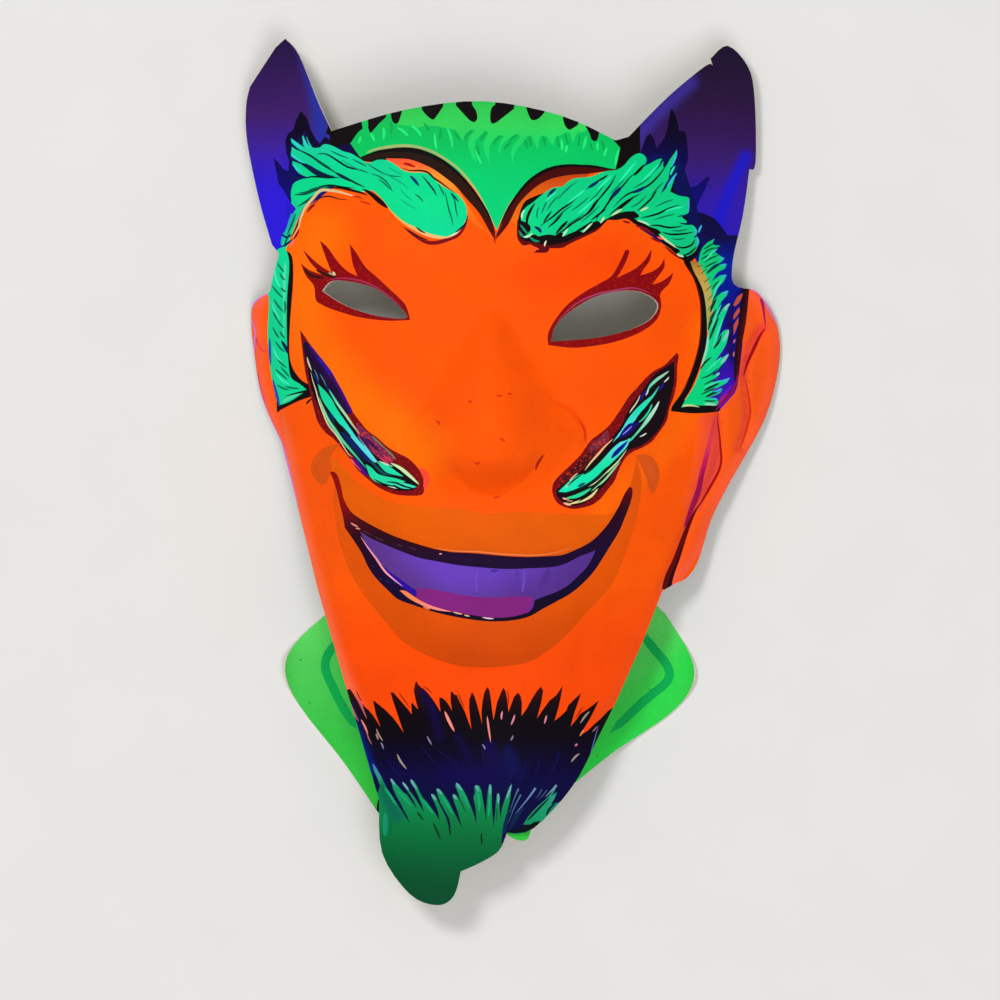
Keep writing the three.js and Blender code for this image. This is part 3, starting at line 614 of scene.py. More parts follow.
paint("#046048", 0.45, lens, at(-60.4, 94.6, -58, 92.8, -54.4, 90.5), at(-44.5, 92.5, -40.9, 90.1, -37, 88.3,
    -33.1, 88), at(-43, 89, -40, 88, -37.6, 86, -35.9, 83.2), at(-40.4, 87.5, -38.2, 85.6, -36.4, 83.8),
    at(-65, 83.5, -62.2, 83.8, -59.8, 84.8, -56.9, 85.3), at(-20.6, 83.8, -19.9, 80.8, -19.3, 78.1,
    -18.4, 75.1, -18.1, 73), at(-18.8, 83, -17.6, 80.8, -17.2, 78.1, -16.6, 75.5), at(-22.6, 86, -21.4, 83.8,
    -20.6, 82), at(-29.5, 82.6, -28.1, 81.8, -26.8, 80.2), at(-48.4, 93.5, -46, 92.2, -43.6, 91),
    at(-55, 96.1, -52, 94.6, -49, 93.5))
paint("#08A47C", 0.4, lens, at(-40.6, 90.1, -36.8, 88, -33.4, 86, -30.8, 83.8), at(-34, 81.5, -31.6, 79.6,
    -28.6, 78.1), at(-37.6, 91, -35.2, 89.5, -32.9, 88.6), at(-52, 93.5, -48.4, 91.3, -45.4, 89.8),
    at(-34, 84.5, -32.2, 82.3, -29.8, 80.5))
paint("#04306C", 0.9, lens, at(-31, 88.3, -29.5, 86.8, -28.1, 85))
paint("#063C50", 0.6, lens, at(-27.4, 88.3, -25.6, 86.2, -23.8, 83.8, -22.9, 82), at(-18.8, 83.2,
    -17.6, 81.8, -16.3, 80.2))
paint("#300808", 0.6, lens, at(-34, 90.8, -31, 89.8, -28.1, 89.8, -25.6, 89.2, -23.8, 87.5, -21.8, 86.2,
    -19.6, 84.5, -16.9, 82.6))
paint("#30D4E0", 0.5, lens, at(-66.5, 99.8, -65.2, 98.2, -63.4, 96.8), at(-66.8, 95.2, -65, 93.8,
    -62.5, 92.2), at(-63.1, 100, -62.2, 98.2, -61.3, 96.8), at(-66.5, 92.5, -65, 90.8, -63.1, 89.5),
    at(-66.5, 82, -65.8, 80.5, -65, 79.6))
mint = "#0AD08E"
area(mint, at(-66.5, 83.2, -64, 80.2, -61, 82.6, -59.2, 84.5), at(-61, 82, -63.1, 79, -64.6, 76, -65.8, 73,
    -67, 70, -68.8, 67), at(-69.8, 68.8, -68.2, 73, -67, 77.2, -66.5, 83.2))
paint(mint, 1.6, brush, at(-64.3, 80, -65.8, 77.2, -66.8, 73.6), at(-66.1, 75.5, -67.3, 72.1, -68.8, 68.8),
    at(-67.6, 70.3, -68.5, 67.6, -69.8, 65.2))
patch("#2A16C8", at(-68.2, 80.5, -67, 80.8, -65.8, 79.6, -65.2, 78.8, -66.1, 77.5, -67, 76, -68.2, 76.6))
paint("#10B094", 1.2, lens, at(-65.8, 77.8, -67, 74.8, -68, 72.1))
paint("#1A9CC0", 0.8, brush, at(-66.5, 77.5, -67, 75.5, -67.6, 73), at(-68.5, 72.1, -69.5, 70, -69.8, 68))
paint("#06145C", 0.7, lens, at(-69.8, 71.5, -68.2, 70.3, -66.5, 71.2), at(-70.3, 67, -68.2, 68.2,
    -66.1, 69.8))
paint("#04523C", 0.8, lens, at(-66.1, 83, -62.5, 83.2, -58.6, 84.5, -53.5, 85), at(-65, 79.3, -61.9, 81.1,
    -58.9, 83, -55.6, 84.5))
paint("#062C44", 0.5, lens, at(-65.2, 77.8, -66.5, 74.2, -68.2, 70.6), at(-67, 71.8, -68.2, 69.5, -69.1, 67))
paint(BLACK, 0.9, brush, at(-59.2, 82.6, -61.3, 80.5, -63.1, 78.1, -64.3, 75.1, -65.5, 72.5, -67, 69.8))
paint("#DCC088", 0.9, lens, at(-45.4, 81.8, -48.8, 82.6, -51.8, 83.5, -54.8, 84.1, -57.8, 84.1, -60.1, 81.8,
    -62.5, 79, -63.8, 76, -64.6, 73, -66.5, 69.8))
paint(BLACK, 0.75, lens, at(-55.6, 84.8, -52, 84.8, -48.8, 84.1, -45.4, 83.2, -43.4, 82.3))
paint("#281008", 0.45, lens, at(-49, 81.1, -52.4, 81.5, -55, 82.3, -57.8, 82, -59.5, 80.5, -61.9, 78.5))
paint("#FF7058", 0.9, lens, at(-67, 67.3, -66.5, 68.5, -65.5, 69.8))
paint("#8C0C08", 0.7, lens, at(-59.2, 80, -60.8, 79, -61.9, 77.5), at(-64.3, 72.8, -65, 71.2, -66.1, 69.5))
paint("#D42C08", 0.6, lens, at(-48.4, 82.3, -46.6, 82, -44.9, 81.5), at(-46, 80.8, -44.2, 80.2, -42.4, 79.6))
area("#180408", at(-45.4, 84.5, -43, 83.8, -40.4, 82, -38.5, 80.2, -37.4, 78.5), at(-38.5, 78.8, -40.6, 80.2,
    -42.8, 82.3, -45.4, 84.5))
paint("#E4F4DC", 0.35, lens, at(-19.1, 70, -16.9, 71.2, -15.1, 73.3))
paint("#08102C", 0.6, lens, at(-13.7, 76.6, -14.2, 74, -16.1, 72.1, -17.6, 71))
paint(BLACK, 0.5, lens, at(-29.2, 73, -27.8, 71.8, -26.2, 71))

# Right brow: the same lock brushed the other way, rougher below
area("#5C0408", at(1.1, 74.8, 1.1, 69.5, 3.1, 67), at(5, 67.6, 6.8, 66.1, 5.8, 65.2), at(9.8, 65.2,
    10.7, 66.5), at(13.3, 66.5, 15.1, 66.8), at(16.3, 67.6, 20.8, 69.8), at(24.8, 71.8, 27.1, 74),
    at(25.9, 78.5, 13.9, 80, 1.1, 74.8))
area("#060C50", at(25.9, 84.5, 37.9, 93.5, 48.8, 94, 53.5, 83.8, 56.5, 73.6, 56.9, 68.8, 55.6, 65.2,
    52.9, 62.8), at(37.9, 72.5), at(25.9, 84.5))
area(BLACK, at(1.3, 74.8, 2.5, 79, 5, 81.5, 13.9, 84.5, 25.9, 87.5, 34.9, 91.6, 42.8, 89.8, 48.1, 84.5,
    51.1, 78.5), at(52.9, 73, 55.4, 68.2, 55.4, 65.5, 53.5, 63.1), at(51.8, 62.5, 48.8, 65, 45.1, 68.2,
    42.8, 70.6, 39.4, 72.8, 36.1, 74), at(33.8, 75.5, 30.8, 75.1, 28.1, 75.1), at(26.6, 73.6, 24.1, 72.1,
    21.8, 71), at(19.1, 70, 16.1, 68.5), at(10.7, 67.3, 7.3, 68, 4.3, 68.5, 1.9, 69.8, 1.3, 74.8))
paint("#8C0808", 0.7, lens, at(32.5, 74.8, 33.8, 74.5, 34.9, 74.2), at(36.1, 73.6, 39.4, 72.5, 42.4, 70.6),
    at(40.9, 70, 42.8, 69.1, 44.5, 68.5), at(45.1, 67.6, 47.5, 65.5, 50.5, 63.4))
paint("#FF5430", 0.7, lens, at(5, 67, 6.5, 66.5, 7.6, 66.1), at(2.9, 67.3, 3.8, 66.8, 4.3, 66.5),
    at(43, 70.3, 43.9, 69.8, 44.9, 69.5))
right_brow = fade([(66, "#08C47E"), (76, "#04D084"), (90, "#04CE80"), (98, "#08C27A")])
area(right_brow, at(2.2, 74.8, 2.5, 77.2, 4, 79, 5.8, 80.2, 7.6, 81.8, 9.8, 83.5, 12.2, 84.8, 14.5, 85,
    16.3, 86.5, 18.4, 87.5, 22.9, 88, 25.9, 89.2, 28.3, 89.8, 30.8, 90.1, 33.1, 91.6, 35.2, 94, 37.4, 95.2,
    39.1, 94.6, 39.8, 93.1, 39.1, 91.3), at(40.9, 92.2, 43.4, 93.5, 44.9, 93.5), at(44.9, 91, 46.9, 93.5,
    49, 96.5), at(48.4, 93.5, 46.9, 90.5, 46.4, 87.5), at(47.5, 88, 49, 89.5), at(48.1, 87.5, 46.9, 83.8),
    at(49.6, 82.6, 52.6, 82, 52, 79.6, 52.4, 77.5), at(50.5, 76.3, 51.8, 75.1, 51.8, 74.2), at(54.1, 73.6,
    54.8, 71.8, 54.1, 70.3), at(55.4, 69.5, 55, 67, 53.5, 65.2, 50.9, 64.3, 48.8, 65.2), at(49.9, 66.1,
    46.9, 68, 45.1, 69.1, 43.4, 71), at(44.2, 71.5, 43, 72.5), at(40.6, 73.3, 37.9, 74.8, 36.1, 75.5),
    at(37.6, 76.3, 36.1, 77.8), at(32.5, 77.5, 28.9, 76, 25.9, 74.2), at(24.8, 74.8, 22.9, 73.6, 20.6, 71.2),
    at(19.3, 71.8, 16.9, 71, 14.8, 70), at(14.5, 71.2, 12.4, 70.3), at(10.3, 70.6, 7.3, 70), at(6.1, 70.6,
    3.1, 69.8), at(5, 71.8, 4.6, 73.6, 2.2, 74.8))
paint("#0A8C66", 0.7, lens, at(1.9, 73.6, 3.1, 72.1, 4.3, 70.6), at(1.6, 71.8, 2.5, 70.3, 4, 69.5),
    at(4.6, 70, 6.1, 68.8, 7.9, 68.5))
paint(BLACK, 0.9, lens, at(6.5, 80.2, 5, 77.8, 4, 75.1, 4, 71.8), at(25.9, 81.8, 24.4, 80, 22.9, 77.8,
    20.8, 75.8), at(39.4, 92, 37.6, 90.1, 35.9, 88.3), at(16.3, 74.8, 14.5, 73, 12.4, 70.6), at(23.8, 74.8,
    21.1, 72.8, 18.1, 71.2))
paint(BLACK, 0.6, lens, at(22.9, 85, 20.2, 83.2, 17.2, 80.2, 14.2, 78.1, 11.8, 76, 9.8, 74.5, 7.6, 72.8),
    at(28.3, 88.6, 26.6, 87.5, 24.1, 86.2), at(11.5, 77.8, 10, 75.8, 8.8, 74), at(30.8, 89, 29.2, 86,
    27.8, 84.1, 25.9, 81.8, 24.1, 79.3), at(22.9, 78.1, 20.6, 75.8, 17.6, 74, 14.8, 71.8, 12.4, 70.3),
    at(37, 89.8, 34.9, 88, 32.9, 85.6, 31, 83.5, 28.9, 81.1, 27.1, 78.5, 25.3, 76.3, 24.4, 74.5),
    at(46.9, 93.5, 44.9, 90.5, 43, 88, 40.4, 85.6, 37.4, 84.1, 34.4, 83, 31.9, 81.1, 29.5, 78.5),
    at(43, 84.5, 41.5, 82, 39.1, 79.6, 36.8, 77.8), at(35.9, 81.8, 33.1, 79.6, 30.4, 77.2), at(38.2, 83.2,
    34.4, 81.1, 31.3, 78.8, 28.3, 76.3), at(50.2, 80, 46.6, 78.8, 43.4, 77.2, 40.4, 76.3, 37.9, 75.8),
    at(51.1, 73.6, 46.9, 73, 43.4, 73.6, 40.6, 73.6), at(54.1, 71.8, 50.9, 71.2, 46.9, 71, 44.2, 71.8),
    at(54.4, 69.8, 53.5, 68, 50.9, 67, 47.9, 67.6), at(55, 67.6, 52.9, 65.5, 50.5, 64.6), at(31.9, 85,
    30.1, 83.2, 28.3, 80.8), at(15.4, 78.1, 12.8, 74.8, 10, 72.5), at(27.8, 78.5, 25.3, 76.6, 22.9, 74.8))
paint("#067050", 0.45, lens, at(19.3, 86.8, 16.9, 85, 14.8, 83, 13, 80.8), at(7.6, 79, 7, 77.2, 7, 75.1),
    at(44.5, 92, 41.9, 89.8, 39.4, 87.8), at(10.3, 81.5, 9.2, 79, 8.2, 76.6), at(17.8, 79.6, 14.5, 77.2,
    11.5, 74.2), at(22.9, 82.3, 19.9, 79.6, 16.9, 77.5), at(27.1, 85.6, 24.8, 82.6, 22.3, 80.2),
    at(25.9, 79.6, 22.9, 76.6, 19.9, 74.2), at(33.4, 87.5, 31, 85, 28.6, 82.6), at(41.5, 88.6, 38.5, 86.2,
    35.5, 84.5), at(45.1, 86.8, 42.8, 84.5, 40.9, 82), at(48.1, 81.5, 45.1, 80.5, 42.1, 79), at(48.8, 77.2,
    45.1, 76.3, 41.5, 75.1), at(51.8, 70, 49.4, 69.5, 46.9, 69.8), at(39.8, 82.6, 37.4, 80.2, 34.9, 78.8),
    at(13.9, 82.6, 11.5, 80.2, 9.8, 77.5), at(21.4, 77, 18.1, 74.8, 15.1, 72.8), at(52.9, 72.8, 49.9, 72.1,
    46.9, 72.1))
paint("#04245C", 1.0, lens, at(25.6, 86.8, 23.8, 85.6, 22.1, 84.5), at(12.8, 84.5, 11.2, 83.2, 10, 81.1),
    at(32.5, 85.3, 31, 83.5, 29.5, 81.8), at(39.8, 85.3, 37.6, 84.1, 35.2, 83.2), at(6.1, 73, 7.6, 72.1,
    8.2, 71), at(49.6, 92.5, 48.1, 89.2, 46, 86, 44.2, 83.2))
paint("#04104C", 0.8, spike, at(52.6, 76.6, 50.5, 76.6, 48.8, 76.3), at(52.9, 74.2, 51.1, 74.2, 49.4, 74.5),
    at(45.1, 94, 43.9, 92, 42.4, 90.5), at(47.5, 95.8, 46.6, 93.5, 45.1, 91))
paint("#3CB8D8", 0.6, lens, at(49, 96.1, 48.4, 93.8, 47.2, 91), at(49, 89.5, 47.5, 87.5, 45.8, 85),
    at(56.5, 74, 55.9, 72.8, 55.4, 71.5), at(52.6, 81.8, 52.4, 79.6, 52.4, 77.5), at(54.8, 70.6, 55.4, 69.1,
    55, 67.3), at(53.9, 73.3, 54.8, 72.1, 54.4, 70.6))
paint("#B8E8B8", 0.6, lens, at(2.5, 75.1, 2.5, 76.6, 3.4, 78.1), at(2.9, 69.8, 4.3, 70, 5.8, 71),
    at(23.6, 74.2, 22.1, 72.8, 20.6, 71.2), at(16.3, 72.5, 15.4, 71.2, 14.5, 70), at(36.8, 75.1, 38.9, 74.5,
    40.9, 73.6), at(48.8, 65.2, 49.9, 64.6, 51.4, 64.3))
paint("#E0DCA8", 0.55, lens, at(43.6, 71, 45.8, 69.1, 49, 66.8), at(9.8, 68.8, 9.4, 68, 9.2, 67),
    at(32.5, 78.5, 31, 77.5, 29.2, 76.3), at(37.9, 77.8, 39.1, 78.5, 40.4, 79), at(27.1, 76, 26.6, 75.1,
    25.9, 74))
paint("#2CECB4", 0.6, lens, at(9.4, 80.2, 10.9, 82, 12.8, 83.2), at(15.8, 79.6, 18.8, 82, 21.8, 84.5),
    at(24.8, 83.8, 27.1, 86.2, 29.5, 88.6), at(31.3, 86.2, 33.8, 89.2, 36.8, 92.8), at(37.9, 86.2,
    40.9, 89.2, 43.9, 92.2), at(45.1, 77.8, 48.1, 78.8, 51.1, 79.3), at(18.8, 76.6, 21.8, 79, 24.8, 82),
    at(46.9, 88.6, 47.5, 90.1, 48.4, 91.6))

# Sideburns: mint, with a cream misprint edge and a black line against the skin
area(BLACK, at(-68.8, 66.5, -66.5, 64.6, -66.1, 57.4, -67, 45.4, -67.3, 36.4, -66.5, 31.6, -64, 27.8,
    -61.6, 26.2, -59.8, 25.6, -59.8, 22.6), at(-64.6, 21.1, -70.3, 18.4), at(-71.2, 20.8, -69.1, 51.4,
    -68.8, 66.5))
area(brow, at(-68.8, 67.6, -71.2, 66.5, -74.8, 62.8, -76, 55.9, -73.6, 52.6, -74, 42.4, -73.6, 34.9,
    -72.5, 26.8, -70.6, 19.9), at(-67, 21.1, -61.9, 24.4), at(-64, 26.2, -66.8, 28.3, -67.6, 33.4, -68, 39.4,
    -68, 51.4, -67.3, 62.8, -68.8, 67.6))
paint("#58DCAA", 0.9, brush, at(-68.5, 63.1, -68.8, 56.9, -68.8, 48.4, -69.1, 40), at(-69.8, 20.8,
    -66.1, 22.6, -62.8, 24.1))
paint("#1450B4", 0.8, lens, at(-73.3, 40.4, -73.3, 36.4, -73, 31.6), at(-72.5, 28.1, -71.5, 24.4,
    -70.3, 20.8), at(-71.8, 23.8, -71, 22.1, -70.3, 19.6))
paint("#067050", 0.6, lens, at(-72.1, 52, -70.6, 49.6, -69.1, 47.9), at(-72.8, 56.2, -71, 53.9, -69.1, 52),
    at(-71.2, 46, -70, 44.2, -68.8, 43), at(-71.8, 39.4, -70, 37, -68.5, 35.9), at(-71.5, 34.6, -69.8, 32.5,
    -68, 31), at(-71.8, 31, -69.8, 29.2, -67.6, 27.4), at(-70.3, 42.4, -69.5, 40.9, -68.5, 40),
    at(-70.3, 59.8, -69.5, 58.3, -68.5, 57.4), at(-71.2, 62.8, -69.8, 61, -68.8, 59.8), at(-72.5, 48.4,
    -71.5, 46.6, -71, 45.4), at(-70, 31.6, -68.5, 29.8, -67, 28.1), at(-68.8, 25.6, -66.5, 25.1, -64, 24.8),
    at(-68.8, 51.4, -68.5, 49.6, -68.8, 47.2), at(-72.5, 43.6, -71.2, 41.2, -70.3, 40), at(-71.2, 26.2,
    -69.5, 25.1, -67, 24.4), at(-70.3, 55.6, -69.1, 54.4, -68.2, 53.9))
paint("#40ECC0", 0.6, lens, at(-72.8, 51.4, -71.8, 48.4, -70, 45.4), at(-71.8, 61, -71.2, 57.4, -69.8, 55),
    at(-72.5, 37.9, -71.2, 34.6, -69.5, 32.9), at(-71.5, 29.8, -69.5, 27.4, -67, 25.9))
paint("#0A1E50", 1.1, lens, at(-69.8, 39.4, -68.5, 37.4, -67.6, 35.2))
paint(BLACK, 0.8, brush, at(-60.8, 24.4, -64.6, 23.6, -68.8, 22.6), at(-62.2, 20.2, -61, 21.4, -59.2, 22.3))
area(BLACK, at(51.1, 65.2, 53.5, 62.2, 55.6, 58, 57.1, 53.5, 57.9, 48.4, 58, 43, 57.8, 38.2, 56.5, 33.4,
    55, 28.9, 53.2, 24.8, 51.1, 21.4), at(61.3, 19.9), at(61.6, 18.1, 54.1, 17.4, 47.2, 18), at(47.5, 19.6,
    51.1, 24.8, 54.1, 31.9, 55.9, 39.1, 56.2, 46.6, 55.6, 52, 53.9, 57.8, 51.1, 62.5, 51.1, 65.2))
paint("#6A0C04", 0.4, lens, at(52.4, 61.6, 55.4, 54.4, 56.2, 46.6, 55.6, 37.9, 52.9, 28.9, 49.6, 22.6))
right_sideburn = fade([(20, "#02D67E"), (34, "#04D688"), (44, "#0CD08A"), (52, "#0CCE84"), (66, "#06CA74")])
area(right_sideburn, at(55.4, 62.5, 56.2, 66.1, 58, 68.5, 60.4, 69.9), at(59.8, 68.2, 62.1, 67.8),
    at(60.1, 66.3, 63.3, 64), at(62.2, 62.8, 60.1, 61.9, 58, 59.8), at(60.1, 60.9, 61.9, 62.1, 64, 62.4),
    at(63.4, 60.9, 61.3, 59.8, 59.5, 57.1), at(60.8, 58, 62.2, 58.9, 63.9, 59.1), at(63.1, 57.1, 61.3, 55,
    59.8, 51.1), at(61, 52.4, 62.5, 53.7, 64.3, 54.3), at(64, 52.9, 61.9, 50.2, 60.1, 45.1), at(61.6, 46.9,
    62.8, 49, 64.6, 50.5), at(64.3, 48.8, 62.8, 45.1, 61, 39.1), at(62.2, 41.2, 63.4, 42.4, 64.6, 42.6),
    at(64.5, 40.9, 63.4, 37.4, 60.4, 33.1), at(61.9, 33.8, 63.1, 34.4, 64.5, 35.4), at(64, 33.8, 61.9, 31,
    59.2, 29.1), at(60.4, 29.2, 61.9, 29.5), at(60.4, 27.9, 58.6, 27.1), at(60.4, 26.8, 62.5, 27.4,
    64.8, 28.1), at(64, 26.7, 61.3, 25.2, 58.6, 24.1), at(60.8, 24.3, 62.8, 24.9), at(62.2, 23.8, 60.1, 22.8,
    58, 22.2), at(59.5, 22.1, 61, 21.8), at(61, 19.9, 52.9, 19.9), at(50.2, 19.1), at(51.8, 22.1, 53.9, 25.3,
    55.9, 30.1, 57.4, 34.6, 58.3, 39.4, 58.6, 43.6, 59.5, 49, 59.2, 53.2, 57.8, 58, 55.4, 62.5))
tan_strip = fade([(40, "#84CC84"), (44, "#98B868"), (48, "#A8AA5E"), (52, "#B6AC5C"), (57, "#C6A04A"),
    (61, "#C08E3A"), (64, "#94542C")])
area(tan_strip, at(52.9, 63, 54.1, 59.8, 55.6, 57.1, 56.9, 53.9, 57.6, 49.9, 57.9, 46, 58.2, 41.2),
    at(59.2, 44.9, 59.8, 49, 59.4, 53.2, 58, 57.8, 55.4, 62.8))
paint("#5C6418", 0.35, lens, at(54.8, 61.3, 55.9, 61.6, 57.1, 61.9), at(55.9, 59.2, 57.1, 60.1, 58.3, 60.8),
    at(56.9, 56.5, 58, 57.4, 59.2, 58.3), at(57.4, 53.9, 58.6, 55, 59.8, 55.9), at(58, 51.1, 59.2, 52.4,
    60.1, 53.5), at(58.2, 48.1, 59.2, 49.6, 60.1, 50.9), at(58.3, 45.4, 59.2, 46.6, 60.1, 48.1), at(58.5, 43,
    59.2, 44.2, 59.8, 45.4))
paint("#044C32", 0.5, lens, at(56.9, 66.5, 58.6, 67.6, 60.1, 68.5), at(56.5, 64.8, 58.6, 66.5, 61, 67.3),
    at(55.9, 63.4, 58, 64.6, 60.8, 65.7), at(56.9, 62.5, 59.2, 64, 61.9, 65.1), at(57.1, 61, 59.2, 62.2,
    61.3, 63.1), at(59.5, 50.2, 60.4, 52.4, 61.9, 54.4), at(59.5, 54.4, 60.4, 55.9, 61.9, 57.4),
    at(55.9, 27.8, 58.9, 28.9, 61.6, 31.3), at(56.9, 25.9, 59.2, 27.1, 61.6, 28.3), at(55.9, 22.9,
    58.3, 24.1, 60.8, 25.3), at(57.1, 21.3, 58.9, 21.1, 61, 21.3))
paint("#04382C", 0.8, lens, at(57.8, 59.2, 59.8, 61, 62.2, 62.4), at(58.3, 42.1, 59.2, 45.4, 61, 49),
    at(58.6, 39.1, 60.1, 43, 61.6, 46.6), at(59.8, 36.8, 61.3, 38.5, 62.5, 41.2), at(58.9, 47.5, 59.8, 49.9,
    61, 52), at(56.9, 24.1, 59.5, 25.5, 61.9, 26.6), at(57.4, 22.2, 59.8, 23.4, 61.6, 24.1))
paint(BLACK, 0.6, lens, at(55.9, 30.4, 57.4, 32.7, 59.5, 34.4))
paint("#062A6C", 0.7, lens, at(63.4, 32.9, 61.6, 30.4, 59.5, 28.6), at(63.8, 25.6, 61.9, 24.4, 59.5, 23.6),
    at(62.5, 23.2, 61, 22.3, 59.2, 22.1))
paint("#3CB4E4", 0.6, lens, at(61.6, 64, 62.5, 64, 63.4, 64), at(62.2, 61.6, 63.1, 62.1, 64, 62.2),
    at(62.2, 58, 63.1, 58.6, 64, 58.9), at(62.8, 53.2, 63.8, 53.9, 64.6, 54.1), at(62.5, 26.8, 63.8, 27.4,
    65, 28.1), at(60.1, 23.8, 61.6, 24.4, 62.8, 24.9), at(59.2, 21.8, 60.1, 21.8, 61, 21.8))
paint("#88C8C0", 0.8, lens, at(63.1, 48.1, 64, 49.4, 65, 50.5), at(62.8, 38.9, 64, 40.9, 64.6, 42.6),
    at(62.2, 32.2, 63.4, 33.9, 64.6, 35.2), at(60.8, 28.9, 61.3, 29.2, 61.9, 29.5))
paint("#38E4AC", 0.6, lens, at(59.5, 51.4, 60.8, 54.8, 62.8, 57.8), at(59.2, 42.4, 60.4, 46, 62.5, 50.5),
    at(59.5, 36.4, 61.3, 41.9, 63.1, 46.6), at(57.8, 29.8, 60.1, 32.2, 62.5, 34.4), at(56.9, 25.1,
    59.5, 26.2, 62.5, 27.4), at(57.1, 62.8, 59.2, 65.2, 61.3, 67))
paint("#90DCB8", 0.8, lens, at(58.3, 41.2, 57.9, 36.8, 56.2, 31.3), at(57.1, 20.2, 58.9, 20.2, 61, 19.9))
paint("#C4D898", 0.8, brush, at(50.5, 19.6, 52.9, 19.8, 55.9, 19.3))
paint("#8A0C48", 1.1, lens, at(67.3, 29.2, 67, 26.6, 65.5, 23.8, 63.1, 21.1, 60.4, 18.1))
paint("#6A14B4", 0.9, lens, at(65.8, 26.2, 64.3, 24.4, 61.9, 22.3))
paint("#B01A78", 0.7, lens, at(64.3, 23.6, 62.5, 21.8, 60.8, 19.6))

# Eye rims and lashes, in a dark red that speckled on the press
lash = ink("#86020A", 0.2)
area(lash, at(-63.8, 62.5, -61.3, 60.4, -57.4, 58.9), at(-61, 62.8, -63.1, 66.5), at(-60.4, 63.8,
    -57.4, 61.3, -54.4, 59.5), at(-56.2, 64, -58, 69.1), at(-55.6, 67, -52.6, 62.8, -49.6, 59.8,
    -46.6, 58.3), at(-48.1, 62.2, -49, 68), at(-46.9, 65.2, -44.2, 61, -40.6, 57.8, -37, 54.4, -32.9, 50.5,
    -31.6, 48.1, -30.8, 45.1), at(-37.6, 44.9, -46, 46, -53.2, 48.1, -57.4, 49.9, -59.2, 51.4, -59.8, 55.6,
    -62.2, 58.6, -63.8, 62.5))
paint("#B89C74", 0.7, lens, at(-55.4, 59.5, -54.4, 58.9, -53.5, 58))
paint("#D8D0A8", 0.6, lens, at(-54.1, 59.8, -53.7, 59.2, -53.2, 58.6))
paint("#3A1008", 1.0, lens, at(-63.1, 61, -60.4, 58.6, -56.2, 57.8), at(-59.2, 60.4, -56.2, 58.9,
    -52.6, 57.8))
paint("#A02C54", 0.5, lens, at(-56.2, 57.1, -50.5, 57.8, -43.6, 56.2, -37.6, 52.6, -33.4, 48.8))
area(lash, at(10.3, 37.6, 10.3, 41.2, 12.8, 45.8, 16.3, 49.9, 21.1, 53.5, 25.9, 56.2, 29.2, 58.3, 31.6, 62.2,
    33.4, 66.1), at(34.6, 65.8, 33.1, 61.6, 30.8, 57.8), at(36.1, 60.4, 39.4, 63.4, 41.2, 66.5),
    at(40.9, 63.4, 38.9, 60.4, 37.9, 58.6), at(41.5, 59.8, 43.9, 61.6, 45.1, 63.8), at(45.1, 61, 43, 58,
    41.5, 55.9), at(44.5, 56.9, 47.9, 59.5), at(46.6, 56.2, 43.9, 53.2, 44.2, 49.6, 42.8, 45.4, 38.5, 41.9,
    31.9, 39.1, 25.3, 37.6, 17.6, 36.8, 10.3, 37.6))
paint("#A03C68", 0.5, lens, at(12.8, 44.5, 18.1, 49.6, 24.1, 52.6, 30.1, 54, 36.1, 54.8, 41.5, 52.9))

# Moustaches: dark locks rimmed in dark red, with brush lines of mint, turquoise, navy and cream
rim = ink("#74040E", 0.2)
area(rim, at(-64, 42.4, -62.5, 40.4, -61, 38.2, -59.2, 35.9, -56.9, 33.1, -54.4, 29.8, -52.6, 26.6,
    -50.9, 23.6, -49.4, 20.6, -47.9, 17.6, -45.8, 14.8, -43.6, 12.2, -40.6, 10, -37.6, 7.3, -34.6, 5.5,
    -31.3, 3.8, -28.6, 1.1, -26.8, -1.6, -26.6, -5.2, -27.4, -7, -30.8, -7.3, -34.6, -7, -37.6, -6.1,
    -40.6, -4.6, -42.8, -2.9, -44.9, -1.1, -46.9, 0.8, -48.4, 3.1, -50.5, 5.8, -52.4, 8.2, -54.1, 10,
    -56.5, 11.8, -58.6, 14.8, -59.5, 17.6, -60.4, 21.1, -61.3, 25.3, -62.2, 28.6, -62.8, 32.5, -63.4, 37.4,
    -64, 42.4))
purple_rim = beside("#1C0630", "#4A0A78", at(-60.4, 37.6, -56.9, 33.1, -52.6, 26.6, -49.4, 20.6,
    -47.9, 17.6), 1.5)
area(purple_rim, at(-63.1, 37.9, -62.2, 38.9, -60.4, 37.4, -59.2, 35.9, -56.9, 33.1, -54.4, 29.8,
    -52.6, 26.6, -50.9, 23.6, -49.4, 20.6, -48.1, 17.8, -49.9, 17.2, -52.6, 20.2, -55.6, 24.4, -59.2, 26.8,
    -61.6, 30.4, -63.1, 37.9))
paint("#2C10A0", 0.9, lens, at(-59.2, 34.6, -57.8, 33.1, -56.5, 31.3), at(-56.9, 31.6, -55.6, 30.1,
    -54.8, 28.6))
area("#120610", at(-61.9, 34.4, -60.4, 31.6, -58.6, 28.6, -55.9, 25.6, -53.2, 21.4, -50.2, 17.6, -47.9, 14.2,
    -44.9, 10, -40.6, 5.8, -37, 2.9), at(-32.9, -0.1, -28.6, -3.1, -29.8, -5.5, -34, -5.8, -38.2, -4.6,
    -41.9, -2.9, -44.9, 1.1, -48.4, 5, -52.6, 9.4, -56.9, 16.1, -59.8, 22.6, -61.3, 28.1, -61.9, 34.4))
area(ink("#7A2450", 0.8), at(-46.9, 14.5, -44.2, 12.2, -40.9, 9.4, -37.9, 6.8, -35.5, 4.3, -36.8, 2.5,
    -38.9, 3.1, -41.5, 5, -44.2, 7.6, -46.6, 10.7, -46.9, 14.5))
paint("#3C1450", 1.0, lens, at(-44.2, 10, -42.1, 7.9, -39.8, 5.8), at(-46, 10.7, -44.2, 8.8, -42.8, 6.5))
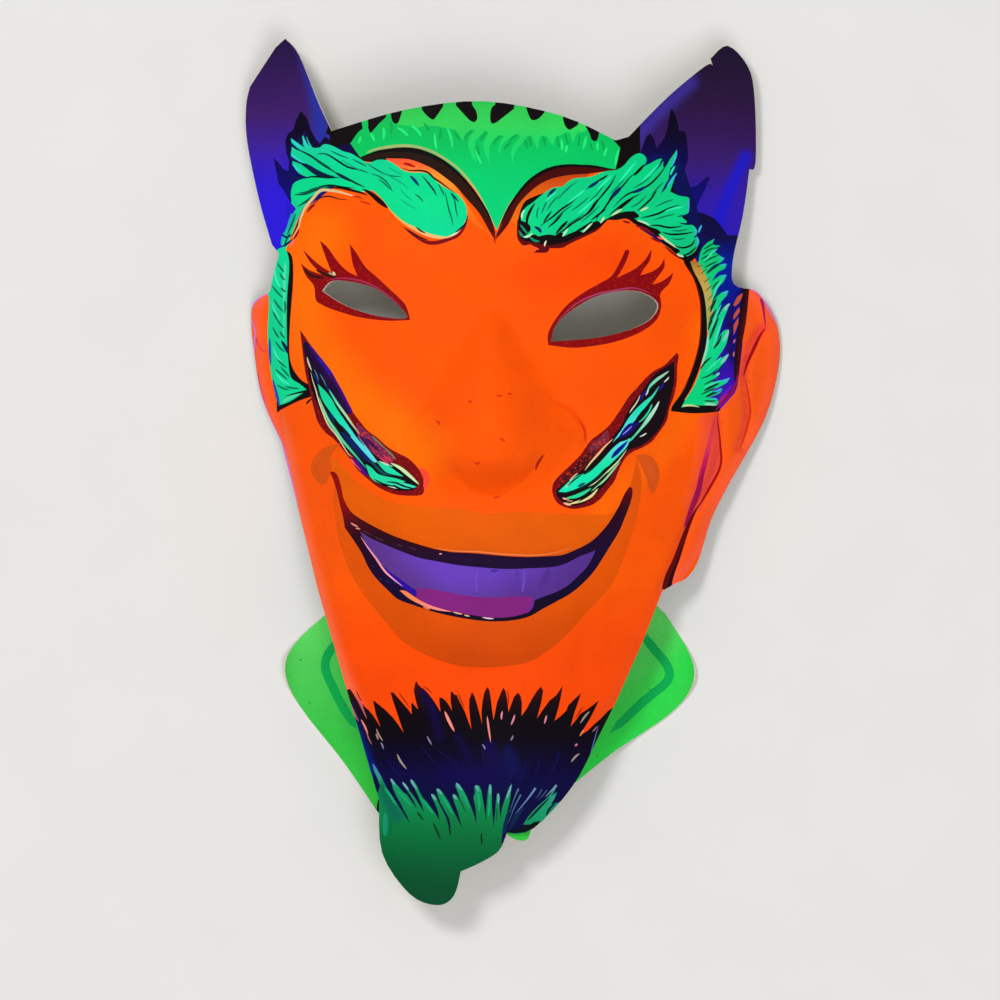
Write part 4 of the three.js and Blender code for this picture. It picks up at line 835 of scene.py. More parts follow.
paint("#707858", 0.6, lens, at(-42.4, 10.7, -40.4, 8.8, -38.2, 6.8), at(-38.9, 7.3, -36.8, 5.5, -34.9, 3.4))
paint("#D03A50", 0.7, lens, at(-38.9, 5, -37.6, 3.8, -36.1, 2.9), at(-40, 4.3, -38.5, 3.1, -37, 2.2))
area("#5A0A78", at(-48.1, 4.3, -46.6, 3.1, -44.9, 1.1, -43.4, -1.3, -44.5, -1.1, -46.6, 1.1, -48.1, 4.3))
paint("#1C0A64", 0.8, lens, at(-46.9, 3.8, -45.1, 1.6, -43.4, -1.1))
paint("#F0607C", 0.45, brush, at(-48.8, 4, -47.2, 1.9, -45.4, 0.1))
# The left one's brush lines, from its outer edge inwards
paint("#DCCCA8", 0.5, lens, at(-61.9, 34.4, -61.3, 32.2, -60.4, 30.1))
paint("#E0D4AC", 0.45, lens, at(-60.8, 30.1, -60.1, 27.1, -59.2, 24.4, -58.3, 21.1, -56.9, 17.2, -55.4, 13.9,
    -52.9, 10.7, -51.1, 7.9, -49.4, 5.2, -48.1, 4.3))
paint(fade([(4, "#34CCA4"), (14, "#6CE09C"), (22, "#A4E8A0")]), 0.8, lens, at(-58.3, 22.6, -57.1, 19.3,
    -55.4, 15.4, -53.2, 12.2, -51.1, 9.2, -48.8, 6.5, -46.4, 3.8, -43.9, 0.8))
turquoise = fade([(2, "#64DCE8"), (10, "#4CE0E4"), (14, "#20DEBC"), (18, "#10DA9E"), (26, "#0CD498")])
area(turquoise, at(-58.6, 26.2, -57.4, 25.1, -55.6, 23.2, -53.9, 20.8), at(-52, 18.1, -49.9, 14.8,
    -47.2, 11.2, -44.2, 7.6, -40.6, 2.9), at(-41.9, 2.9, -45.4, 6.5, -49, 10.7, -52, 14.2, -55, 18.1,
    -57.4, 21.8, -58.6, 26.2))
paint(fade([(6, "#C8B8A0"), (17, "#B4D4A4"), (22, "#48D8B0")]), 0.75, lens, at(-55.6, 25.1, -54.1, 22.6,
    -52.4, 19.9, -50.2, 16.9, -48.1, 13.9, -45.8, 10.9))
area("#06206C", at(-51.8, 11.8, -50.5, 11.5), at(-48.4, 9.4, -46, 6.8, -43.4, 4, -41.9, 2.2), at(-43.9, 3.1,
    -46.6, 5.8, -49.4, 8.8, -51.8, 11.8))
paint("#045058", 0.8, lens, at(-43.4, 3.8, -41.5, 1.9, -39.1, -0.4, -35.9, -1.6, -32.9, -2.2))
paint(BLACK, 0.6, lens, at(-53.9, 20.8, -52.4, 18.4, -50.2, 15.4, -48.4, 12.8, -46.4, 9.8, -44.2, 7.3))
paint("#062A2C", 0.5, lens, at(-58.9, 24.4, -57.4, 20.8, -55.6, 17.2, -54.1, 14.8, -52, 11.8), at(-50.9, 10,
    -48.4, 7.3, -46, 4.6, -44.2, 2.5), at(-52, 14.2, -50.2, 12.2, -48.4, 10.3))
paint("#0A2470", 0.6, lens, at(-55.4, 17.8, -54.4, 16.3, -53.5, 14.8), at(-56.9, 26.8, -55.9, 25.3,
    -55, 23.6), at(-60.1, 29.8, -58.9, 27.4, -58, 25.6))
paint("#4A7890", 0.35, lens, at(-59.8, 30.8, -58.9, 28.9, -58.3, 27.1), at(-58, 29.2, -56.9, 27.4,
    -55.9, 25.3))
area(fade([(-5, "#28D89C"), (2, "#10D8A0")]), at(-44.2, 2.2, -42.4, 1.1, -40.4, -0.8, -37.6, -1.6,
    -34.6, -2.2, -32.2, -3.1), at(-34.6, -3.8, -37.6, -4.3, -40.6, -3.4, -42.8, -1.6, -44.2, 2.2))
area("#1CDCA4", at(-40.9, 2.9, -38.9, 2.2, -36.8, 1.3, -34.4, 0.1, -32.2, -1.6), at(-35.2, -1.1, -38.2, -0.1,
    -40.9, 2.9))
paint("#B4E8C4", 0.5, lens, at(-40.4, 3.1, -38.2, 2.2, -35.9, 1.3), at(-41.9, -2.5, -38.2, -4, -34.6, -5.2))
area("#30DCB4", at(-35.9, -3.8, -33.4, -3.4, -31.3, -3.8, -28.9, -4.6), at(-31, -5.2, -33.4, -5,
    -35.9, -3.8))
paint("#C4E8A8", 1.0, lens, at(-36.8, 2.5, -34, 1.1, -31, -1.3, -28.1, -4))
paint(BLACK, 0.6, lens, at(-37.4, 1.9, -34.4, -0.1, -31.3, -2.2, -28.6, -4), at(-38.9, -1.1, -35.9, -1.6,
    -32.9, -2.5, -29.8, -3.8), at(-38.2, -3.1, -35.2, -3.4, -32.2, -4.6, -29.2, -5.2), at(-41.9, -2.2,
    -38.9, -3.8, -35.2, -4.6))

area(rim, at(48.8, 35.5, 47.2, 33.8, 44.9, 31.6, 42.1, 30.1, 39.4, 27.8, 37, 25.1, 34.4, 22.3, 32.5, 19.3,
    30.1, 15.8, 28.1, 13.3, 25.6, 11.2, 23.2, 9.4, 21.8, 7.6, 20.2, 5.2, 17.6, 2.5, 14.5, -0.4, 12.2, -2.9,
    11.5, -5, 11.8, -7.3, 13, -9.4, 15.4, -10.7, 18.1, -11.2, 21.1, -10.7, 23.8, -9.8, 26.2, -7.9,
    28.3, -5.2, 30.1, -2.9, 31.6, 0.8, 33.4, 4, 35.5, 5.8, 38.2, 7, 41.2, 8.8, 43.6, 11.8, 45.8, 15.1,
    46.6, 18.8, 47.9, 22.3, 48.8, 26.6, 49, 31.3, 49.4, 34.6, 48.8, 35.5))
area("#14060E", at(48.1, 32.9, 45.1, 31, 42.4, 29.2, 40, 26.2, 38.2, 23.6, 35.9, 20.8, 34, 17.8, 32.5, 14.2,
    29.8, 10.7, 26.8, 7.3, 23.8, 4, 20.8, 0.8, 17.2, -1.9, 13, -5.2), at(12.8, -7, 14.8, -9.2, 18.1, -10.3,
    22.3, -8.8, 25.9, -5.5, 28.9, -1.9, 31.6, 2.5, 34, 6.1, 37.9, 7.6, 41.5, 10.3, 44.5, 14.2, 46.4, 19.9,
    47.9, 26.2, 48.1, 32.9))
area(ink("#70283C", 0.8), at(28.1, 12.4, 25.9, 10.3, 23.6, 8.5, 22.3, 6.5, 23.6, 5.8, 25.9, 7.3, 28.3, 9.4,
    28.1, 12.4))
area(ink("#401014", 0.6), at(22.3, 6.1, 19.9, 3.4, 17.2, 0.8, 13.9, -2.5, 14.2, -3.8, 18.1, -0.8, 21.8, 2.2,
    24.8, 5.8, 22.3, 6.1))
paint("#26107C", 0.8, lens, at(39.8, 24.4, 38.5, 22.6, 37.6, 20.8), at(45.1, 26.6, 44.2, 25.3, 43.4, 24.1))
# The right one's brush lines, from its upper end down
paint(fade([(24, "#2CD8B0"), (30, "#A8D4BC")]), 0.9, lens, at(46.6, 30.1, 44.5, 28.6, 42.8, 27.4, 40.9, 25.6,
    39.8, 23.6))
paint("#D4ECDC", 0.4, lens, at(46.6, 28.3, 45.8, 27.4, 44.9, 26.6), at(40.4, 24.8, 40, 23.6, 39.4, 22.6),
    at(39.8, 11.5, 38.9, 10.9, 37.6, 10.3))
paint("#E0D8B4", 0.4, lens, at(37.9, 22.9, 36.8, 20.6, 35.2, 18.4, 34, 16.6))
area(fade([(12, "#54DCE4"), (18, "#1CE4BC"), (26, "#34D8A8")]), at(43.6, 25.6, 42.4, 23.2, 40.9, 21.1),
    at(39.1, 18.8, 37.9, 16.9, 36.1, 15.1), at(34.4, 13.3, 31.9, 10.9, 29.5, 8.5), at(31, 10.7, 32.5, 12.8,
    34, 15.4, 36.1, 18.1, 38.9, 20.8, 41.2, 22.6, 43.6, 25.6))
paint("#24D8A0", 0.8, lens, at(41.5, 20.2, 40.4, 18.1, 38.9, 16.1, 37, 14.2))
paint(fade([(10, "#38D8A0"), (20, "#C4E8D4")]), 1.2, lens, at(43.6, 21.1, 42.4, 18.8, 40.6, 16.1, 38.5, 13,
    36.4, 10.7, 34, 8.5))
area("#0A0E74", at(37.9, 14.8, 35.9, 12.4, 33.8, 10.7, 31, 9.4), at(32.5, 12.2, 34.4, 14.2, 36.1, 14.5,
    37.9, 14.8))
paint("#9C8CF0", 0.35, lens, at(35.5, 13.7, 34, 12.2, 32.2, 10.7))
paint(BLACK, 0.5, lens, at(41.5, 21.4, 39.8, 19.3, 37.9, 17.2, 36.4, 15.4), at(40.9, 19.3, 39.1, 16.9,
    37.4, 14.8), at(42.1, 17.2, 40.4, 14.5, 37.9, 11.8, 35.5, 9.4), at(33.1, 11.8, 30.1, 8.5, 27.4, 5),
    at(34.9, 18.4, 33.4, 15.4, 31.6, 12.4))
area(fade([(-6, "#14E4B4"), (2, "#18E4A8"), (10, "#60E0EC")]), at(34.9, 10, 33.4, 9.2, 31.9, 8.8),
    at(29.5, 6.8, 26.8, 3.8, 24.1, 1.1, 21.8, -0.4, 19.1, -1.3, 16.1, -3.4, 13.3, -6.1), at(16.9, -6.1,
    21.1, -4.3, 24.4, -1.9, 27.8, 1.1), at(30.8, 4, 33.8, 7.3, 34.9, 10))
area("#06148C", at(34.4, 9.4, 33.1, 7.3, 31, 5), at(29.2, 3.8, 29.8, 5.5, 31.9, 7.6, 34.4, 9.4))
paint("#C4E0A0", 0.5, lens, at(34, 6.8, 31.3, 3.1, 28.3, 0.1, 25.1, -2.9, 22.3, -4.6))
paint("#98D89C", 0.6, lens, at(31.9, 3.1, 29.5, 0.1, 26.6, -3.1, 22.9, -6.1))
paint(fade([(0, "#B4D890"), (6, "#FFB880")]), 0.6, lens, at(29.8, 9.8, 27.4, 7.6, 25.3, 5.2, 22.9, 2.5,
    21.1, 0.1))
paint("#062C20", 0.55, lens, at(30.1, 2.5, 27.4, 0.8, 25.1, -1.6, 21.8, -4, 17.6, -5.8, 13.7, -6.8),
    at(28.3, -0.1, 25.9, -2.5, 22.9, -5, 19.3, -6.1), at(24.1, 1.1, 22.3, -0.1, 20.6, -1.1))
paint("#084868", 0.8, lens, at(21.4, -3.4, 20.2, -4, 19.1, -4.6))
paint("#24D894", 1.1, lens, at(23.2, -5, 20.8, -6.5, 18.1, -7.6, 15.8, -7.9))
paint("#E4DC94", 0.9, lens, at(25.3, -5, 23.2, -7.3, 20.2, -8.8, 16.3, -9.8))
paint("#FFB890", 0.7, lens, at(14.5, -7.9, 16.1, -8.5, 17.6, -8.8), at(14.8, -9.4, 16.1, -9.8, 17.2, -10))
paint("#E8B898", 0.4, lens, at(19.3, -0.4, 17.8, -1.6, 16.6, -2.9), at(17.2, -3.1, 16.3, -4, 15.4, -5))
paint(BLACK, 0.5, lens, at(24.1, -5.5, 21.1, -7.6, 17.6, -8.5, 14.5, -8.5), at(25.9, -3.8, 22.9, -6.8,
    18.8, -9.4), at(20.6, -0.8, 18.1, -2.5, 15.8, -4.6))

# Nose and cheeks: faint folds painted darker as shade beside the right nostril and under the tip, and a few
# spots where the ink is bruised
paint("#F64A00", 1.3, lens, at(11.5, 21.1, 16.9, 18.4, 21.1, 13, 21.8, 7.6))
paint("#D83808", 0.6, lens, at(19.3, 15.8, 21.1, 12.4, 21.4, 8.2))
paint("#F85000", 1.0, lens, at(8.2, 4, 4, -1.3, -0.4, -5, -5, -7.9))
paint("#A82408", 0.9, lens, at(6.5, 0.1, 7.3, 2.5, 9.2, 5.2))
paint("#F84630", 2.0, lens, at(-28.1, 1.3, -25.9, -1.9, -26.6, -5.5))
paint("#DC3408", 0.7, lens, at(-5.2, 22.6, -4.3, 22.3, -3.1, 22.6), at(-1.9, 23.2, -1.3, 22.9, -0.4, 23.2),
    at(-23.2, 15.1, -22.3, 14.5, -21.8, 13.7), at(-4.3, 9.8, -3.4, 9.4, -2.5, 8.5), at(-11.8, 2.5,
    -10.7, 2.2, -9.8, 2.9), at(-13.7, 20.8, -12.8, 20.6, -12.2, 20.8), at(-6.1, -7.6, -5.2, -7.9, -4, -7.3))
paint("#C4482C", 1.0, lens, at(-7.9, -16.1, -7.3, -16.1, -6.5, -16.3))

# Mouth: lips a little browner than the skin, curled at the corners, a black outline, teeth and tongue
area("#DA5208", at(-51.8, 8.4, -54.4, 7.8, -57.1, 6.8, -59.4, 4.8, -60.8, 2.2, -60.6, -0.4, -59.2, -2.7,
    -57.8, -3.9, -56.2, -3.6, -55.2, -1.6, -54.4, 1.1, -54.8, 4), at(-53.9, 5.8, -51.8, 8.4))
area("#DA5410", at(36.4, 4.8, 38.9, 5.1, 41.2, 4.5, 42.9, 2.5, 43.6, -0.1, 43.5, -3.1, 42.4, -5.8,
    41.2, -6.5, 40.5, -5, 39.9, -2.5, 38.7, 0.4), at(37.4, 2.9, 36.4, 4.8))
paint("#E05820", 2.2, lens, at(40, 2.5, 41.2, 0.4, 41.9, -2.9))
# The lower lip darkens towards its lowest edge: painted shade under the pressed lip
lower_lip = fade([(-58.5, "#CC4400"), (-52, "#D24800"), (-44, "#DA4E00"), (-34, "#E05200"), (-15, "#E25402"),
    (5, "#DE5208")])
area(lower_lip, at(-53.2, -1.9, -53.9, -7.6, -53.5, -13, -52.6, -19.1, -51.1, -24.4, -49, -29.8, -46, -35.2,
    -42.1, -40.4, -37.6, -45.8, -33.4, -50.5, -28.6, -53.5, -22.6, -56.2, -16.6, -57.9, -10, -58.5,
    -3.1, -58.2, 4.3, -56.9, 9.4, -54.1, 14.8, -49.9, 19.9, -44.2, 24.8, -39.1, 29.2, -34, 32.2, -27.8,
    34.6, -21.1, 36.8, -13.9, 37.9, -7.9, 38.2, -1.9, 36.8, 4), at(35.5, -1.9, 34.4, -5.5), at(25.9, -26.6,
    -4, -38.5, -40, -29.5, -50.5, -8.5, -53.2, -1.9))
upper_lip = fade([(-24, "#E25A02"), (-16, "#E45C00"), (-6, "#E65C00"), (5, "#EA5E00")])
area(upper_lip, at(-55, 4.3, -52.6, 3.1, -50.2, 0.4, -47.5, -2.5, -44.2, -5.2, -40, -7.8, -35.2, -9.6,
    -29.5, -10.5, -22.1, -10.9, -14.5, -11.5, -10, -12.2, -7, -12.9, -4, -12.4, 1.9, -12.3, 9.4, -12.6,
    18.4, -13.2, 25.9, -13, 29.5, -12.3, 31.9, -10, 34.4, -5.5), at(25.9, -25.3, -13, -28.3, -34, -26.6,
    -48.4, -17.6), at(-52.6, -3.8, -55, 4.3))
paint("#DE5A04", 0.4, lens, at(-48.4, -1.9, -42.4, -6.8, -34, -9.9, -22.1, -10.9), at(-22.1, -10.9,
    -13, -11.7, -7, -13, 1.9, -12.3, 13.9, -12.8, 27.1, -13))
paint("#FA8A50", 0.35, lens, at(-24.4, -22.8, -17.6, -23.7, -10, -24, -1.1, -24.8, 9.4, -24.8, 18.4, -22.6))
mouth_line = fade([(-46, "#0C0216"), (-30, "#160430"), (-23, "#1E0428"), (-15, "#280414"), (-10, "#500610"),
    (-4, "#8C0604")], lean=-0.1)
area(mouth_line, at(-55, -0.3, -53.9, 0, -52.6, -1.3, -51.9, -3.4, -51.4, -5.5, -51, -7.6, -50.1, -9.8,
    -48.8, -11.8), at(-47.2, -13.3, -44.2, -15.3, -40.6, -17.7, -36.4, -19.8, -31, -21.4, -25.1, -23.1,
    -19.1, -24, -11.5, -24.4, -4, -25.1, 3.4, -25.5, 9.4, -25.3, 14.5, -24.9, 19.1, -23.1, 22.9, -21.1,
    26.2, -18.1, 28.9, -14.7, 31.3, -10.7, 33.1, -6.8, 34.6, -4.6), at(35.5, -5.2, 35.4, -7.6, 34.4, -10.9,
    33.1, -14.2, 31.6, -17.8, 29.2, -21.8, 26.8, -25.6, 24.1, -29.7, 20.8, -33.3, 17.2, -36.3, 13, -38.7,
    8.5, -41.1, 4.3, -43.4, -1.1, -44.5, -7, -44.7, -13, -44.1, -19.1, -43, -24.4, -41.7, -29.5, -40,
    -34.4, -38.2, -37.6, -35.4, -40.9, -32.1, -43.4, -28.6, -45.4, -24.4, -48.1, -20.2, -50.5, -16.8),
    at(-51, -13.7, -51.8, -10.7, -52.5, -7.6, -53.2, -5, -54.1, -2.2, -55, -0.3))
paint("#380410", 0.8, lens, at(-49, -12.2, -43.6, -15.8, -35.2, -19.9, -24.4, -23.2, -18.4, -24.1))
teeth = beside(fade([(-37, "#6039A0"), (-32, "#663DB6")]), "#5A3488", at(-44.5, -20.6, -37, -30.1,
    -28.1, -38.5), 12)
teeth = beside(teeth, "#522E86", at(25.1, -22.9, 18.4, -32.5, 5, -40.4), 16)
area(teeth, at(-45.8, -18, -42.4, -20.1, -37.6, -22.2, -32.9, -24.1, -28.1, -25.8, -22.9, -26.8,
    -16.9, -27.9, -10, -28.6, -2.5, -29.1, 5, -28.9, 11.8, -28.5, 15.8, -27.4, 19.3, -25.6, 24.4, -23.6),
    at(23.6, -25.6, 21.8, -28.6, 19.3, -31.2, 16.3, -33.9, 12.8, -35.9, 8.8, -37.4, 6.1, -38.5),
    at(4.3, -42.1), at(-22.1, -40.9), at(-28.9, -37.4, -32.9, -34.2, -37, -30, -40.6, -26.6, -43.6, -22.3,
    -45.8, -18))
paint("#5834A0", 1.2, lens, at(0.8, -29.2, 1.1, -32.9, 0.8, -37))
paint("#6C44BC", 0.8, lens, at(3.1, -29.2, 3.1, -32.5, 2.5, -36.4), at(-10.7, -29.2, -11.2, -32.5,
    -10.9, -36.1))
paint("#502E8C", 2.0, lens, at(10.7, -28.6, 9.4, -31.9, 7.3, -36.4))
paint("#462A94", 0.9, lens, at(-7, -29.4, -5.8, -29.7, -4.6, -29.4))
area("#2A0896", at(-39.1, -28.3, -36.1, -30.6, -33.4, -32.4, -30.8, -34.4), at(-28.9, -35.5),
    at(-28.8, -37.6), at(-31.6, -35.9, -34, -34, -36.8, -31.6, -39.1, -28.3))
area("#80207A", at(-28.9, -34.8, -25.1, -35.1, -20.2, -35.9, -15.4, -36.9, -10, -37.5, -4, -37.5, 1.9, -37.2,
    5.8, -37.6), at(5.2, -40, 3.9, -42.1), at(1.1, -43, -3.1, -43.6, -7.6, -43.5, -12.4, -42.8, -17.6, -41.9,
    -22.1, -40.9, -25.6, -39.8, -28.9, -37.6))
paint("#6C2490", 0.6, lens, at(6.1, -37.9, 5.5, -40.4, 3.8, -42.4))
paint(fade([(-34, "#E8A0E0"), (-30, "#FF9CA0"), (-24, "#F090B4")]), 0.6, lens, at(-45.8, -19.3, -43.4, -22.9,
    -40.9, -26.2, -38.5, -29.7, -35.9, -32.1, -32.9, -34.4))
area(beside("#FF8450", "#FF8A80", at(-25.6, -39.8, -17.8, -42.1), 5), at(-34, -35.5, -32.2, -35.7,
    -30.1, -37, -27.8, -38.5, -25.1, -39.8, -22.1, -40.8, -18.1, -41.9), at(-22.1, -41.5, -25.6, -40.6,
    -28.6, -39.3, -31.3, -37.8, -34, -35.5))
paint("#E0A890", 0.45, lens, at(-18.1, -41.9, -16.6, -42.3, -15.1, -42.6), at(-14.8, -42.8, -13.9, -43,
    -13, -43.2))
paint("#ECC4D0", 0.45, lens, at(-9.4, -43.5, -7.6, -43.8, -5.8, -43.9))
paint("#F87A30", 0.5, lens, at(-27.1, -40.4, -25.9, -40.8, -24.8, -41.1))
paint("#E08C84", 0.5, lens, at(-48.8, -15.3, -47.5, -16.1, -46.4, -16.6), at(-47.2, -16.9, -46.5, -17.1,
    -45.8, -17.2), at(-22.2, -24.6, -21.8, -24.6, -21.3, -24.6))
paint("#4E2C3C", 0.3, lens, at(-45.1, -17.6, -43.6, -18.4, -42.1, -19.2), at(-41.9, -19.3, -40.4, -20.1,
    -38.5, -20.8), at(-34.9, -21.8, -34, -22.1, -32.9, -22.3), at(-31.3, -22.6, -30.1, -22.9, -28.9, -23.6))
paint("#1C2250", 0.4, lens, at(-42.1, -27.9, -41.9, -28.3, -41.5, -28.8), at(-40.2, -31.8, -39.6, -32.2,
    -39, -32.5), at(-38.2, -32.4, -37.6, -32.9, -37, -33.1), at(-35.9, -33, -35.2, -33.3, -34.6, -33.4))

# Beard: black with spiky ends above, green tips below
beard = fade([(-112, "#04063C"), (-97, "#04043A"), (-91, "#08033C"), (-86, "#070128"), (-80, "#06010E"),
    (-73, "#0A0208"), (-68.5, "#1C0308"), (-64, "#400808")])
for colour, line, reach in (
    ("#0E0238", at(-26.8, -66.1, -24.1, -71.8, -22.1, -79.3), 2.6),
    ("#0C0238", at(-16.9, -79, -14.5, -83.5, -12.2, -88.3), 1.8),
    ("#0A0048", at(-19.1, -90.8, -11.5, -91.6, -4, -89.5), 6),
    ("#100048", at(-7.3, -82.3, -5.8, -85.6), 3),
    # A navy band beside the slit, where the left lobe's edge falls over the flap: painted shadow
    ("#0A0A4C", at(-1.3, -84.1, 0.4, -90.1, -0.4, -96.1), 3),
    ("#00187A", at(-49.6, -71, -46, -80.5, -42.4, -90.1), 2.6),
):
    beard = beside(beard, colour, line, reach)
patch(beard, at(-55, -68.5, -49.9, -65.5, -49, -65.2, -48.1, -66.5, -47.2, -68, -46.4, -69.5, -45.4, -71.2,
    -44.5, -73, -43.9, -74.8, -44.9, -71.5, -45.3, -69.5, -44.5, -70.6, -43.4, -71.5, -42.1, -73,
    -40.9, -74.8, -39.8, -76.6, -41.2, -72.8, -42.1, -68.5, -41.2, -69.1, -40, -70, -38.2, -71.5,
    -36.1, -73.6, -34.4, -75.8, -32.9, -78.1, -34, -74.8, -35.2, -71.2, -36.1, -68.5, -36.8, -66,
    -35.9, -66.1, -34.6, -67.6, -33.1, -69.3, -31.6, -71, -30.4, -72.6, -30.6, -69.5, -30.3, -69.1,
    -29.5, -70, -28.5, -71.1, -29.2, -68.5, -29.8, -65.5, -29.5, -63.8, -29.1, -62.5, -28.6, -63.4,
    -27.8, -64.3, -26.6, -65.1, -25.3, -66.5, -24.1, -68.1, -22.9, -69.9, -21.8, -71.8, -22.1, -69.5,
    -22.2, -67.6, -21.4, -67.5, -20.2, -68.5, -19.2, -69.9, -18.4, -71.4, -18.8, -68.5, -18.8, -66.1,
    -18.4, -65.5, -17.7, -66.5, -16.9, -66.8, -16.3, -68.2, -15.4, -70, -14.5, -71.8, -13.7, -74, -12.6, -77,
    -13, -73.6, -13.3, -70.3, -13.2, -68, -12.4, -65.8, -11.8, -66.8, -11.2, -68.5, -10.5, -71, -9.9, -73.3,
    -9.4, -75.5, -9.6, -72.1, -9.3, -68.8, -8.8, -66.1, -7.9, -64.3, -7.2, -65.2, -6.8, -67.6, -6.5, -70.3,
    -6, -74.2, -5.5, -71.8, -5, -69.1, -4, -66.5, -3.1, -64.5, -2.4, -65.5, -1.9, -68, -1.5, -71.8,
    -0.8, -69.8, 0.1, -67.3, 1.3, -66, 2.1, -67, 2.5, -69.1, 2.4, -73, 3.8, -71, 5.2, -68.4, 6.8, -65.8,
    8.2, -64.2, 8.8, -65.5, 8.4, -68.5, 7, -73.8, 8.8, -71.1, 10.7, -68.5, 12.8, -66.8, 14.7, -64, 14.2, -67,
    13.5, -70.3, 12.3, -74.5, 13.9, -73.3, 15.8, -71.5, 16.3, -70, 18.1, -68.2, 20.2, -66.3, 19.3, -69.1,
    18.1, -72.5, 17.1, -76.3, 18.8, -74.2, 19.9, -72.6, 22.1, -71.2, 23.8, -69.9, 25.6, -68.5, 24.4, -71.1,
    22.9, -74, 21.4, -76.5, 19.9, -79, 22.1, -77.7, 24.1, -75.8, 26.2, -74, 28.3, -71.8, 37.9, -65.5,
    37.9, -86.5, 13.9, -128.5, -55, -128.5))
paint("#8A1408", 0.35, lens, at(-34.4, -66.1, -32.9, -68, -30.8, -71), at(-27.1, -64, -25.6, -65,
    -24.1, -66.5), at(-16.6, -65.8, -15.8, -68, -14.5, -71), at(-1.9, -65.2, -1.5, -67.3, -1.5, -70),
    at(-47.2, -65.5, -46.4, -67.3, -45.4, -69.1), at(20.8, -70.3, 19.9, -71.8, 18.4, -74))
paint("#C85464", 0.6, lens, at(-49.4, -68.5, -48.1, -71.8, -46.4, -75.1), at(-47.5, -66.8, -45.8, -70,
    -43.9, -74.2))
paint("#F08480", 0.6, lens, at(-45.8, -74.2, -44.5, -76.6, -43.6, -79), at(-7.9, -73, -7.5, -76.3,
    -6.8, -81.1))
paint("#A86068", 0.4, lens, at(-44.2, -77.8, -43.4, -80, -42.4, -82), at(25.1, -76.3, 24.4, -77.2,
    23.6, -78.1))
paint("#F88C7C", 0.9, lens, at(-20.6, -71.5, -19.3, -74.5, -17.6, -77.8))
paint("#A88878", 0.5, lens, at(-41.1, -77, -40.4, -78.8, -39.1, -80.8), at(-41.2, -78.5, -40.9, -79.3,
    -40.5, -80.5))
paint("#A4908A", 0.6, lens, at(-34.9, -84.5, -33.8, -86.8, -31.9, -89.2), at(19.8, -84.5, 18.4, -85.6,
    17.2, -87.1), at(22.8, -71.8, 21.4, -73.3, 19.9, -75.5))
paint("#8078A0", 0.5, lens, at(-25.9, -79, -25.2, -80.4, -24.4, -81.8), at(-9.4, -81.5, -8.8, -82.2,
    -8.5, -83.2), at(-39.8, -81.1, -39.3, -82, -38.9, -83.2), at(-0.1, -78.8, -0.4, -79.6, -0.9, -80.5))
paint("#D8808C", 0.6, lens, at(0.4, -72.5, -0.1, -74.2, -0.8, -75.8), at(-3.3, -71.5, -3.6, -72.8,
    -3.6, -74.2), at(9.9, -72.8, 9.6, -74, 9.2, -75.5), at(19.1, -81.5, 18.8, -81.9, 18.4, -82.3))
paint("#FF8858", 0.5, lens, at(21.1, -77.2, 20.6, -78.1, 19.8, -79.3))
paint("#120444", 0.5, lens, at(-27.8, -81.8, -25.1, -85.3, -21.8, -89), at(-22.9, -83, -19.9, -85.3,
    -16.6, -87.1), at(-18.4, -86.5, -16.6, -89, -15.4, -92), at(-8.8, -83, -9.2, -86, -7.6, -89),
    at(-4, -84.1, -3.8, -86.5, -5.2, -89), at(-34.6, -89.5, -31, -91.3, -28.1, -95), at(-25.6, -67.6,
    -24.1, -71, -23.2, -74.5))
paint("#060A4C", 0.6, lens, at(-0.1, -88.3, 1.9, -90.8, 1.6, -95), at(-1.6, -81.1, -2.2, -86, -1.6, -90.8),
    at(4, -86.5, 3.1, -90.1, 1.9, -93.8), at(13.9, -83, 12.8, -87.1, 10.3, -91.3), at(7.9, -85.3, 7.3, -89,
    5.5, -92.5), at(-38.2, -86, -35.9, -89, -33.4, -92))
paint("#5464B4", 0.35, lens, at(25.6, -75.8, 24.1, -81.1, 22.9, -85.6))
green = fade([(-129, "#04462A"), (-122, "#02502A"), (-116, "#025C30"), (-110, "#026A36"), (-105, "#03783C"),
    (-99, "#088A50"), (-95, "#0C9460"), (-91, "#2A9A7C")])
green = beside(green, "#04624A", at(-39.4, -95, -37, -99.8, -35.2, -103.3), 4)
